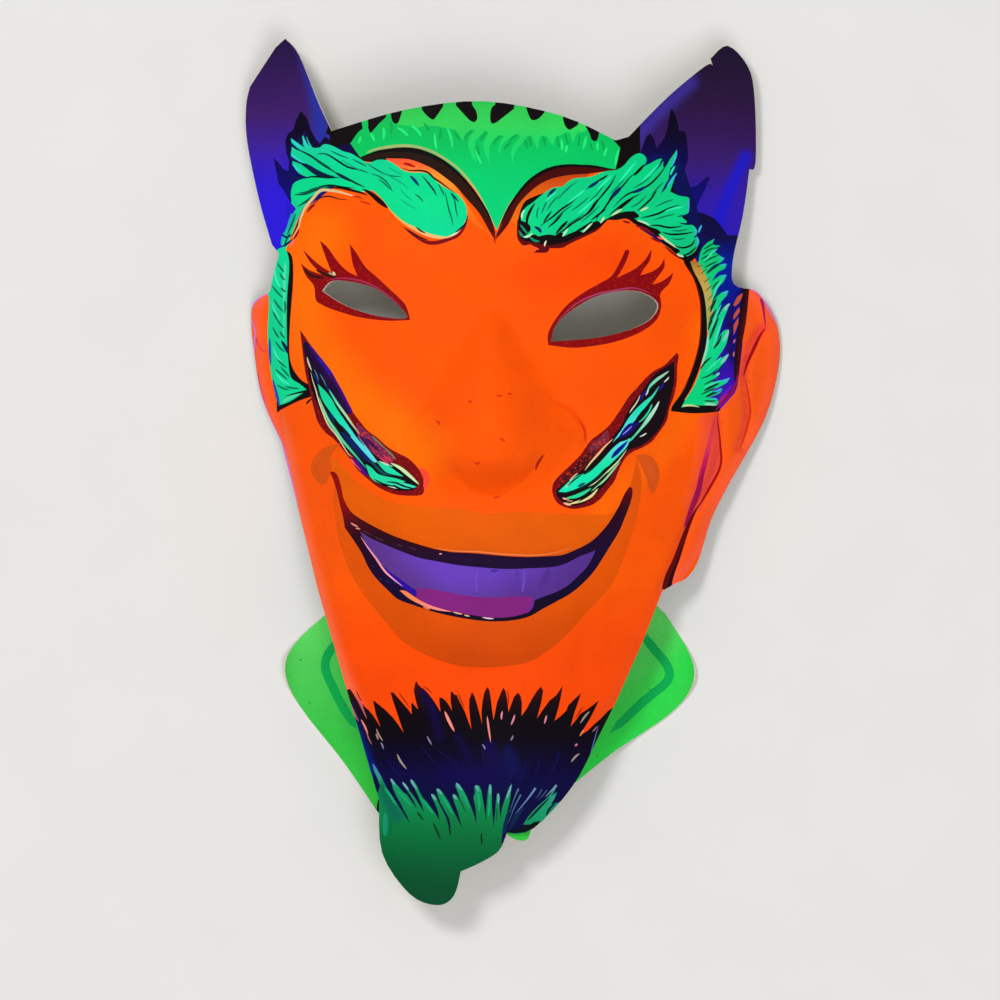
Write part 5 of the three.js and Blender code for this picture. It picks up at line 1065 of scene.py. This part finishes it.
patch(green, at(-47.5, -98.5, -40.6, -96.1, -40, -94.3, -40.8, -92, -41.9, -89.5, -42.3, -87.5, -41.2, -89,
    -40, -90.8, -38.9, -93.1, -37.6, -95.4, -36.4, -97.3, -34.9, -99.5, -33.4, -101.8, -32.2, -103.8,
    -30.9, -105.8, -31.9, -103.2, -33.1, -101, -34, -99.1, -35.1, -97.3, -36.1, -95, -36.8, -92,
    -35.9, -92.8, -34.6, -94.3, -33.1, -96, -31.9, -96.8, -30.8, -98.4, -29.8, -99.8, -28.9, -101.1,
    -29.8, -98.8, -31, -96.8, -32.5, -94.6, -33.3, -93, -32.5, -93.5, -31.6, -95.1, -30.4, -96.5,
    -29.2, -98.2, -28.1, -100, -26.8, -102.1, -27.4, -99.8, -28.6, -97, -29.8, -94.3, -30.8, -92.1,
    -30, -92.5, -28.9, -94.2, -28.1, -96.1, -27.1, -97.8, -25.9, -99, -24.8, -100.5, -23.6, -102.1,
    -22.1, -104.5, -22.6, -101.8, -23.6, -99.1, -24.4, -97.6, -24.6, -96.6, -23.8, -96.6, -23.1, -97.6,
    -22.3, -99.5, -21.1, -101.8, -20.2, -103.6, -19.5, -106, -19.1, -108.9, -18.8, -106.3, -19.3, -103.8,
    -20.6, -101.4, -21.8, -99.3, -22.6, -97, -23.1, -95.2, -22.6, -94.8, -21.8, -95.4, -20.6, -97,
    -19.3, -99.1, -18.1, -101.5, -16.9, -103.8, -15.4, -106.8, -16.1, -104, -16.9, -101.2, -17.8, -98.8,
    -18.3, -97, -18, -96.5, -17.2, -96.8, -16.3, -98.1, -15.4, -100.3, -15.8, -98.5, -16.6, -96.1,
    -17.4, -94, -17.1, -93.1, -16.2, -93.6, -15.1, -95.2, -13.9, -97.5, -12.8, -100.2, -11.8, -102.9,
    -11.1, -105.8, -11.2, -102.1, -11.5, -99.8, -12, -97.6, -11.5, -96, -11.7, -94.3, -11.2, -93.8,
    -10.3, -94, -9.6, -95.5, -9.3, -97.6, -8.8, -100.3, -8.2, -105.3, -8.2, -102.1, -7.9, -98.5, -7.6, -95.2,
    -7.2, -93.5, -6.6, -93.9, -6.5, -96.1, -6.5, -100, -6, -106.6, -5.5, -102.1, -5.2, -98.5, -5, -96.6,
    -4.5, -96.1, -4.2, -97.3, -4.2, -101, -3.9, -104, -3.4, -100.6, -2.5, -97.8, -1.5, -95.2, -0.4, -93.3,
    -0.8, -95.8, -1.3, -99.1, -2.2, -103, -3.1, -106.6, -3.6, -110.5, -3.4, -113.5, -4, -119.5,
    -22.1, -137.5, -46, -131.5))
paint("#3C84A4", 0.7, lens, at(-42.3, -87.5, -41.2, -89.5, -39.4, -92.5))
paint("#64A8A8", 0.7, lens, at(-36.8, -92, -36.3, -92.8, -35.5, -94), at(-33.3, -93, -32.5, -94,
    -31.3, -95.5), at(-30.8, -92.1, -30.1, -93.5, -28.9, -95.2), at(-24.6, -96.5, -24, -97.3, -23.2, -98.5),
    at(-23.1, -95, -22.3, -95.5, -21.4, -96.8), at(-18.1, -96.6, -17.6, -97.3, -16.9, -98.2),
    at(-17.2, -93.1, -16.5, -94, -15.4, -95.5), at(-11.4, -93.8, -10.9, -94.6, -10.3, -95.8), at(-7, -93.5,
    -7, -95, -7, -96.8), at(-4.6, -96.3, -4.5, -97.6, -4.6, -99.5), at(-0.6, -93.5, -1.2, -95.5,
    -2.2, -98.2))
paint("#12A066", 0.8, lens, at(-34.9, -95.5, -32.9, -97.6, -30.4, -100.3), at(-28.1, -97.6, -25.9, -100,
    -23.8, -102.8), at(-21.8, -96.8, -19.9, -99.5, -18.1, -102.8), at(-16.1, -95, -14.5, -97.6, -13.3, -101),
    at(-10.9, -95.5, -10.3, -98.5, -10.3, -102.1), at(-7.2, -96.1, -7.2, -99.8, -7.5, -103.3),
    at(-38.9, -94.6, -37, -97, -34.9, -100.3))
paint("#108A68", 1.6, lens, at(-38.5, -102.1, -38.5, -105.8, -38.5, -109.6))
paint("#034424", 0.9, lens, at(-24.1, -105.1, -22.9, -107.8, -21.8, -110.5))
paint("#03301A", 0.6, lens, at(-9.6, -108.1, -9.6, -110, -9.4, -112), at(-28.9, -101.8, -28.1, -103,
    -26.8, -104.5), at(-19.3, -106.3, -19.1, -107.5, -18.8, -109))
paint("#046034", 0.5, lens, at(-36.8, -104, -36.8, -107, -36.8, -110), at(-15.4, -98.5, -15.1, -100.3,
    -14.2, -102.1), at(-5, -100.3, -5, -102.8, -5.2, -105.1))
flap_green = fade([(-108, "#0A7C4C"), (-101, "#109664"), (-95, "#289A80")])
patch(flap_green, at(2.9, -105.8, 4.3, -103.6, 5.8, -101.8, 7.3, -100.3, 8.8, -99, 10.3, -97.6, 11.5, -96.1,
    12.9, -94, 12.4, -95.5, 11.2, -97.3, 13, -96.1, 12.2, -98.2, 11.2, -99.8, 13.3, -99.3, 18.4, -97,
    13.9, -102.1, 10.3, -105.1, 6.8, -107.2, 5, -105.8))
area("#0E8470", at(9.8, -103.3, 10.9, -101, 13.3, -99.3), at(18.4, -97, 13.9, -102.1), at(10.3, -104.5))
# A near-black strip along the flap's lower edge: painted shadow under that edge
patch("#020A0C", at(-2.2, -109.3, 1.6, -107.2, 2.9, -106.2, 4.6, -106, 6.1, -105.1, 8.2, -104.7, 6.8, -106.3,
    5.2, -107.5, 1.9, -108.1))
paint("#04181C", 0.7, lens, at(4, -104.8, 6.8, -101.8, 11.2, -97.3), at(9.8, -103.3, 10.7, -101.2,
    12.8, -99.1))
# The navy band on the flap beside the left lobe's edge: painted shadow of that edge
paint("#08204C", 1.6, lens, at(0.1, -98.5, -1.6, -103.3, -3.4, -109.3), at(3.1, -100.3, 0.8, -103.3,
    -1.6, -108.1))
paint("#4A7098", 0.5, spike, at(1.5, -95, 0.1, -98.2, -1.6, -103.6), at(2.2, -96.8, 0.4, -100.3,
    -2.2, -107.2))
paint("#6484B4", 0.7, spike, at(6.6, -94.8, 4.3, -98, 0.4, -102.8))
paint("#3A5A78", 0.4, spike, at(8.5, -95.2, 7.6, -96.8, 6.5, -98.2), at(10, -95.5, 8.8, -97, 7.3, -98.5))
paint("#7C94B8", 0.7, spike, at(12.9, -94, 11.5, -95.5, 9.4, -97.6))

# 4. The face card
# The printed sheet, cut, pressed and darted. Its back is bare greyboard, and its cut edges show
# the pale core. The mesh is laid out flat with every ink edge in it, and then formed.

# The mesh: its spacing, the share of it that stays clear round an ink edge, what is welded shut, and
# the step that its slope is measured over
FACE_SPACING, CLEAR_SHARE, WELD, SLOPE_STEP = 1.5, 0.45, 1e-4, 0.05
# The map: its margin as a share of the picture, and the width of the cut edge on it
MAP_MARGIN, EDGE_BAND = 0.006, 1.2


def divided(outline, spacing):
    """A closed outline with no step longer than spacing."""
    after = np.roll(outline, -1, axis=0)
    places = []
    for a, b in zip(outline, after):
        steps = max(1, math.ceil(math.dist(a, b) / spacing))
        places.append(a + (b - a) * np.linspace(0, 1, steps, endpoint=False)[:, None])
    return np.concatenate(places)


def inside(places, outline):
    """Which places lie inside a closed outline."""
    x, y = places.T
    low, high = outline.min(0), outline.max(0)
    near = np.flatnonzero((x > low[0]) & (x < high[0]) & (y > low[1]) & (y < high[1]))
    x, y = x[near], y[near]
    crossed = np.zeros(len(near), bool)
    for (x0, y0), (x1, y1) in zip(outline, np.roll(outline, -1, axis=0)):
        if y0 != y1:
            crossed ^= ((y0 > y) != (y1 > y)) & (x < x0 + (y - y0) * (x1 - x0) / (y1 - y0))
    found = np.zeros(len(places), bool)
    found[near[crossed]] = True
    return found


def clear_grid(outline, edge_places, spacing):
    """A grid of even triangles inside the outline, clear of the places on the edges."""
    taken = kdtree.KDTree(len(edge_places))
    for i, (x, y) in enumerate(edge_places):
        taken.insert((x, y, 0), i)
    taken.balance()
    low, high = outline.min(0), outline.max(0)
    rows = np.arange(low[1], high[1], spacing * math.sqrt(0.75))
    columns = np.arange(low[0], high[0], spacing)
    grid = np.array([(x + spacing / 2 * (j % 2), y) for j, y in enumerate(rows) for x in columns])
    grid = grid[inside(grid, outline)]
    return grid[[taken.find((x, y, 0))[2] > spacing * CLEAR_SHARE for x, y in grid]]


def facing_up(places, triangles):
    """The triangles with the corners of each going round anticlockwise."""
    (ax, ay), (bx, by), (cx, cy) = places[triangles].transpose(1, 2, 0)
    turned = (bx - ax) * (cy - ay) < (cx - ax) * (by - ay)
    return np.where(turned[:, None], triangles[:, ::-1], triangles)


def laid_out(outline, holes, printed, spacing):
    """The flat sheet in triangles that no cut or ink edge crosses, and the topmost print of each."""
    loops = [divided(loop, spacing) for loop in (outline, *holes, *[shape for shape, _ in printed])]
    edge_places = np.concatenate(loops)
    places = np.concatenate([edge_places, clear_grid(outline, edge_places, spacing)])
    edges, first = [], 0
    for loop in loops:
        step = np.arange(first, first + len(loop))
        edges += np.stack([step, np.roll(step, -1)], 1).tolist()
        first += len(loop)
    made = delaunay_2d_cdt([Vector(place) for place in places.tolist()], edges, [], 0, WELD, False)
    places, triangles = np.array([tuple(v) for v in made[0]]), np.array(made[2])
    middles = places[triangles].mean(1)
    kept = inside(middles, outline)
    for hole in holes:
        kept &= ~inside(middles, hole)
    triangles, middles = triangles[kept], middles[kept]
    topmost = np.full(len(triangles), -1)
    for k, (shape, _) in enumerate(printed):
        topmost[inside(middles, shape)] = k
    used, triangles = np.unique(facing_up(places, triangles), return_inverse=True)
    return places[used], triangles.reshape(-1, 3), topmost


def straight_out(place, x, y, on_flap):
    """The direction straight out of the formed sheet at each place."""
    along_x = place(x + SLOPE_STEP, y, on_flap) - place(x - SLOPE_STEP, y, on_flap)
    along_y = place(x, y + SLOPE_STEP, on_flap) - place(x, y - SLOPE_STEP, on_flap)
    out = np.cross(along_x, along_y)
    return out / np.linalg.norm(out, axis=1)[:, None]


def cut_sides(triangles, count):
    """The two ends of each side on a cut: one that only one triangle has."""
    sides = np.concatenate([triangles[:, [0, 1]], triangles[:, [1, 2]], triangles[:, [2, 0]]])
    key = sides[:, 0].astype(np.int64) * count + sides[:, 1]
    turned_key = sides[:, 1].astype(np.int64) * count + sides[:, 0]
    return sides[~np.isin(key, turned_key)].T


def lay_print(mesh, corners, topmost, ground, printed):
    """The ink of each triangle: its print's or the ground's. The fourth number is how far it broke up."""
    shade = ground(*corners.T)
    for k, (_, colour) in enumerate(printed):
        own = np.repeat(topmost == k, 3)
        if own.any():
            shade[own] = colour(*corners[own].T)
    layer = mesh.color_attributes.new("ink", "FLOAT_COLOR", "CORNER")
    unprinted = np.ones((len(mesh.loops) - len(shade), 4))
    layer.data.foreach_set("color", np.concatenate([shade, unprinted]).astype(np.float32).ravel())


def lay_map(mesh, flat, triangles, a, b):
    """The map of the surface: the front, the back beside it, and the cut edge as a band round the back."""
    low, size = flat.min(0), np.ptp(flat, axis=0)
    scale = (1 - 2 * MAP_MARGIN) / size.max()
    beside_it = int(size[1] < size[0])
    start = np.full(2, MAP_MARGIN)
    start[beside_it] += size[beside_it] * scale + 2 * MAP_MARGIN
    back_scale = (1 - MAP_MARGIN - start[beside_it]) / (size[beside_it] + 2 * EDGE_BAND)
    front_map = MAP_MARGIN + (flat - low) * scale
    back_map = start + (flat - low + EDGE_BAND) * back_scale
    outward = (flat[b] - flat[a])[:, ::-1] * (1, -1)
    outward *= EDGE_BAND * back_scale / np.linalg.norm(outward, axis=1)[:, None]
    edge_map = np.stack([back_map[a] + outward, back_map[a], back_map[b], back_map[b] + outward], 1)
    placed = [front_map[triangles], back_map[triangles[:, ::-1]], edge_map]
    uv = mesh.uv_layers.new(name="OFBake")
    uv.data.foreach_set("uv", np.concatenate([p.reshape(-1, 2) for p in placed]).astype(np.float32).ravel())


def bent_card(name, outline, holes, ground, printed, place, spacing):
    """A printed card: place(x, y, on_flap) says where each place of the flat sheet ends up."""
    flat, triangles, topmost = laid_out(outline, holes, printed, spacing)
    x, y = flat.T
    on_flap = flap_of(x, y)
    out = straight_out(place, x, y, on_flap)
    front = place(x, y, on_flap)
    back = front - CARD_THICKNESS * out
    a, b = cut_sides(triangles, len(flat))
    faces = [*triangles.tolist(), *(triangles[:, ::-1] + len(flat)).tolist()]
    faces += np.stack([a, a + len(flat), b + len(flat), b], 1).tolist()
    mesh = bpy.data.meshes.new(name)
    mesh.from_pydata((np.concatenate([front, back]) * MM).tolist(), [], faces)
    lay_print(mesh, flat[triangles].reshape(-1, 2), topmost, ground, printed)
    lay_map(mesh, flat, triangles, a, b)

    # Smooth over each side of the sheet, sharp at the cut. The back and the cut are bare board.
    rim = np.cross(back[a] - front[a], front[b] - front[a])
    rim /= np.maximum(np.linalg.norm(rim, axis=1)[:, None], TINY)
    split = [out[triangles].reshape(-1, 3), -out[triangles[:, ::-1]].reshape(-1, 3), np.repeat(rim, 4, 0)]
    mesh.polygons.foreach_set("material_index", [0] * len(triangles) + [1] * (len(triangles) + len(a)))
    mesh.shade_smooth()
    mesh.normals_split_custom_set(np.concatenate(split).tolist())
    card = bpy.data.objects.new(name, mesh)
    bpy.context.collection.objects.link(card)
    return card


def add(material, kind, inputs, **settings):
    """Adds a node. inputs are numbers, colours, or other nodes' outputs, by socket name or place."""
    tree = material.node_tree
    node = tree.nodes.new("ShaderNode" + kind)
    for setting, value in settings.items():
        setattr(node, setting, value)
    for socket, value in inputs.items():
        if isinstance(value, bpy.types.NodeSocket):
            tree.links.new(value, node.inputs[socket])
        else:
            node.inputs[socket].default_value = value
    return node


def new_material(name):
    """A material without nodes."""
    material = bpy.data.materials.new(name)
    material.use_nodes = True
    material.node_tree.nodes.clear()
    return material


def rgba(colour):
    """A hex colour for a node."""
    return (*linear(colour), 1)


def pattern_scale(size):
    """The scale of a pattern whose grains or cells are that many millimetres wide."""
    return 1 / (size * MM)


# Clouds of uneven ink, grain, specks, dirt, stains and fibres, in millimetres
CLOUD_SIZE, GRAIN_SIZE, SPECK_SIZE, DIRT_SPACING = 16, 0.6, 0.7, 5.5
STAIN_SIZE, FIBRE_SIZE, FIBRE_STRETCH = 22, 0.5, (1.0, 0.35, 1.0)


# Litho ink on machine-coated greyboard: even, slightly silky colour over a faint fibre grain. Where
# a solid was printed thin it broke into specks of the colour under it, and dots of dirt lie on it.
def printed_board(name, under, soiling):
    material = new_material(name)
    spot = add(material, "TexCoord", {}).outputs["Object"]
    printed = add(material, "Attribute", {}, attribute_name="ink")
    # Uneven inking, in clouds
    clouds = add(
        material, "TexNoise",
        {"Vector": spot, "Scale": pattern_scale(CLOUD_SIZE), "Detail": 3.0, "Roughness": 0.55},
    )
    cloudy = add(material, "MapRange", {0: clouds.outputs[0], 1: 0.3, 2: 0.7, 3: 0.93, 4: 1.05})
    # Board fibres show through as a grain, which is coarser here than a fibre so that it can be seen
    grain = add(
        material, "TexNoise",
        {"Vector": spot, "Scale": pattern_scale(GRAIN_SIZE), "Detail": 2.0, "Roughness": 0.6},
    )
    grainy = add(material, "MapRange", {0: grain.outputs[0], 1: 0.25, 2: 0.75, 3: 0.94, 4: 1.05})
    density = add(material, "Math", {0: cloudy.outputs[0], 1: grainy.outputs[0]}, operation="MULTIPLY")
    toned = add(
        material, "Mix", {0: 1.0, 6: printed.outputs["Color"], 7: density.outputs[0]},
        data_type="RGBA", blend_type="MULTIPLY",
    )
    # Specks of the ink below, where the upper ink broke up
    speck = add(
        material, "TexNoise",
        {"Vector": spot, "Scale": pattern_scale(SPECK_SIZE), "Detail": 1.0, "Roughness": 0.5},
    )
    broken = add(material, "MapRange", {0: speck.outputs[0], 1: 0.56, 2: 0.66, 3: 0.0, 4: 1.0})
    share = add(material, "Math", {0: broken.outputs[0], 1: printed.outputs["Alpha"]}, operation="MULTIPLY")
    speckled = add(
        material, "Mix", {0: share.outputs[0], 6: toned.outputs[2], 7: rgba(under)}, data_type="RGBA"
    )
    # Dark dots of dirt, a fifth as wide as the space between them
    dots = add(
        material, "TexVoronoi", {"Vector": spot, "Scale": pattern_scale(DIRT_SPACING), "Randomness": 1.0}
    )
    dirt = add(material, "MapRange", {0: dots.outputs["Distance"], 1: 0.05, 2: 0.1, 3: soiling, 4: 0.0})
    dirty = add(
        material, "Mix", {0: dirt.outputs[0], 6: speckled.outputs[2], 7: rgba("#3C1808")}, data_type="RGBA"
    )
    gloss = add(material, "MapRange", {0: clouds.outputs[0], 1: 0.3, 2: 0.7, 3: 0.55, 4: 0.7})
    relief = add(material, "Bump", {"Strength": 0.35, "Distance": 0.12 * MM, "Height": grain.outputs[0]})
    surface = add(
        material, "BsdfPrincipled",
        {
            "Base Color": dirty.outputs[2], "Roughness": gloss.outputs[0], "Normal": relief.outputs[0],
            "IOR": 1.48, "Specular IOR Level": 0.07,
        },
    )
    add(material, "OutputMaterial", {"Surface": surface.outputs[0]})
    return material


# Bare greyboard, aged: a pale grey-tan felt of recycled fibres with darker flecks, quite matt
def bare_board():
    material = new_material("bare_greyboard")
    spot = add(material, "TexCoord", {}).outputs["Object"]
    stain = add(
        material, "TexNoise",
        {"Vector": spot, "Scale": pattern_scale(STAIN_SIZE), "Detail": 4.0, "Roughness": 0.6},
    )
    aged = add(
        material, "Mix", {0: stain.outputs[0], 6: rgba("#CFC6B2"), 7: rgba("#E2DCCD")}, data_type="RGBA"
    )
    fibre = add(material, "Mapping", {"Vector": spot, "Scale": FIBRE_STRETCH})
    felt = add(
        material, "TexNoise",
        {
            "Vector": fibre.outputs[0], "Scale": pattern_scale(FIBRE_SIZE), "Detail": 3.0,
            "Roughness": 0.6, "Distortion": 0.8,
        },
    )
    fleck = add(material, "MapRange", {0: felt.outputs[0], 1: 0.58, 2: 0.72, 3: 0.0, 4: 0.55})
    flecked = add(
        material, "Mix", {0: fleck.outputs[0], 6: aged.outputs[2], 7: rgba("#8E836F")}, data_type="RGBA"
    )
    relief = add(material, "Bump", {"Strength": 0.6, "Distance": 0.2 * MM, "Height": felt.outputs[0]})
    surface = add(
        material, "BsdfPrincipled",
        {"Base Color": flecked.outputs[2], "Roughness": 0.88, "Normal": relief.outputs[0], "IOR": 1.5},
    )
    add(material, "OutputMaterial", {"Surface": surface.outputs[0]})
    return material


# The inks are drawn as they lie on the finished mask, so they are laid flat with the dart open
prints = [(flattened(shape), colour) for shape, colour in prints]
face = bent_card(
    "printed_face", face_outline, [left_eye, right_eye], skin, prints, formed, FACE_SPACING
)
greyboard = bare_board()
face.data.materials.append(printed_board("offset_printed_board", "#E0380C", 0.0))
face.data.materials.append(greyboard)
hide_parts("face_card")
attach(face, "root")

# 5. The collar
# A second piece of the same board, printed green with a darker stripe. Its middle is bent up and
# glued behind the chin, and its wings lie flat, with their tips curling up.

WING_FLAT_FROM, WING_CURLS_FROM, WING_CURL_RADIUS = 48, 57, 7
GLUE_POINT, GLUE_GAP = (6, -100), 0.3
COLLAR_SPACING = 1.9
height_at_glue = float(bow(*np.array([GLUE_POINT], float).T)[0])
COLLAR_CREST = height_at_glue - FLAP_DROP - CARD_THICKNESS - GLUE_GAP
collar_outline = closed(
    [
        (-51, -39), (-56.3, -42.8), (-66, -52), (-68.8, -60), (-64.5, -70.5), (-51.2, -87.5),
        (-41.3, -101.9),
    ],
    [(-32, -109.5), (-16, -110.8), (-5, -107.8), (0.8, -110.4), (4.4, -110), (6, -103.5)],
    [(23.2, -89.9)],
    [(31, -83.9), (46.7, -73.4), (53.6, -65), (53.6, -56), (46, -43.2)],
    [(38, -35.6)],
    [(26, -50.6), (9.5, -65.6), (-7, -70), (-25, -65.6), (-40, -52)],
)


def draped(x, y, on_flap):
    """Where a place on the flat collar lies. It rises over the middle, its tips curl, and it has no flap."""
    across = np.abs(x - FACE_MIDDLE_X)
    curl = np.clip(across - WING_CURLS_FROM, 0, WING_CURL_RADIUS)
    lift = WING_CURL_RADIUS - np.sqrt(WING_CURL_RADIUS**2 - curl**2)
    rise = (COLLAR_CREST - CARD_THICKNESS) * (1 - smooth(across / WING_FLAT_FROM))
    return np.stack([x, y, CARD_THICKNESS + rise + lift], 1)


prints = []
green_board = fade([(-95, "#34C040"), (-80, "#35C044"), (-62, "#4ACA54"), (-46, "#5EDA62")])
green_board = beside(green_board, "#2CD64A", at(25.9, -92.5, 40.9, -74.5, 55.9, -53.5), 14)
stripe = fade([(-80, "#05A84C"), (-50, "#05AC52")])
paint(stripe, 2.7, band, at(-52, -50.5, -54.8, -53.5, -56.5, -56.5, -56.5, -60.1, -54.4, -65, -51.4, -71,
    -47.2, -77.5))
paint(stripe, 2.7, band, at(39.1, -49.4, 42.4, -53.5, 46.4, -58.6, 46.4, -63.1, 39.4, -69.1, 28.9, -78.8))
# A black patch on the collar beside the beard's left edge: painted shadow of the gap between them
patch("#06080C", at(-40.4, -97.6, -38.9, -97.6, -37, -106.3, -40.6, -105.5, -41.2, -102.8, -41.1, -100.3))
paint("#A8E878", 0.8, brush, at(42.8, -39.1, 44.5, -41.2, 46.4, -43.6))
collar = bent_card("printed_collar", collar_outline, [], green_board, prints, draped, COLLAR_SPACING)
collar.data.materials.append(printed_board("offset_printed_collar_board", "#1C7A20", 0.5))
collar.data.materials.append(greyboard)
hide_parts("collar_card")
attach(collar, "root")

# 6. Floor, light and camera
# The mask lies on a plain pale floor, lit softly from its upper left, and the camera looks
# straight down from a little to the left of its middle and below it, as the photograph does.
# Sizes in this section are metres.

FLOOR_REACH, PICTURE_HEIGHT = 3, 0.3
PICTURE_MIDDLE, PICTURE_LEVEL = (-0.00405, -0.00855), 0.015
SENSOR, FOCAL_LENGTH = 36, 360
LAMP_AIM, ROOM_LIGHT = (0, 0, 0.02), 0.46

floor_mesh = bpy.data.meshes.new("floor")
floor_corners = [(x * FLOOR_REACH, y * FLOOR_REACH, 0) for x, y in ((-1, -1), (1, -1), (1, 1), (-1, 1))]
floor_mesh.from_pydata(floor_corners, [], [(0, 1, 2, 3)])
floor = bpy.data.objects.new("floor", floor_mesh)
bpy.context.collection.objects.link(floor)
# Matt painted board: nearly white, with the faintest mottling in patches 30 mm wide
paper = new_material("matt_pale_floor")
spot = add(paper, "TexCoord", {}).outputs["Object"]
mottle = add(paper, "TexNoise", {"Vector": spot, "Scale": pattern_scale(30), "Detail": 3.0})
tone = add(
    paper, "Mix", {0: mottle.outputs[0], 6: rgba("#DCDBD8"), 7: rgba("#E2E1DE")}, data_type="RGBA"
)
matt = add(paper, "BsdfPrincipled", {"Base Color": tone.outputs[2], "Roughness": 0.9})
add(paper, "OutputMaterial", {"Surface": matt.outputs[0]})
floor_mesh.materials.append(paper)


def soft_light(name, place, size, watts):
    """A square lamp that shines on the middle of the mask."""
    lamp = bpy.data.lights.new(name, "AREA")
    lamp.size, lamp.energy = size, watts
    light = bpy.data.objects.new(name, lamp)
    light.location = place
    light.rotation_euler = (Vector(LAMP_AIM) - Vector(place)).to_track_quat("-Z", "Y").to_euler()
    bpy.context.collection.objects.link(light)


soft_light("key", place=(-0.75, 0.85, 2.0), size=0.5, watts=21)
soft_light("fill", place=(0.5, -0.9, 2.1), size=1.4, watts=19)

room = bpy.data.worlds.new("soft_room")
room.use_nodes = True
room.node_tree.nodes["Background"].inputs["Color"].default_value = rgba("#FFFFFF")
room.node_tree.nodes["Background"].inputs["Strength"].default_value = ROOM_LIGHT
bpy.context.scene.world = room
bpy.context.scene.view_settings.view_transform = "Standard"

# The picture is as high as PICTURE_HEIGHT at the level of the mask's cheeks
camera = bpy.data.cameras.new("camera")
camera.sensor_width, camera.lens = SENSOR, FOCAL_LENGTH
camera.clip_end = 10
view = bpy.data.objects.new("camera", camera)
view.location = (*PICTURE_MIDDLE, PICTURE_LEVEL + PICTURE_HEIGHT * FOCAL_LENGTH / SENSOR)
bpy.context.collection.objects.link(view)
bpy.context.scene.camera = view
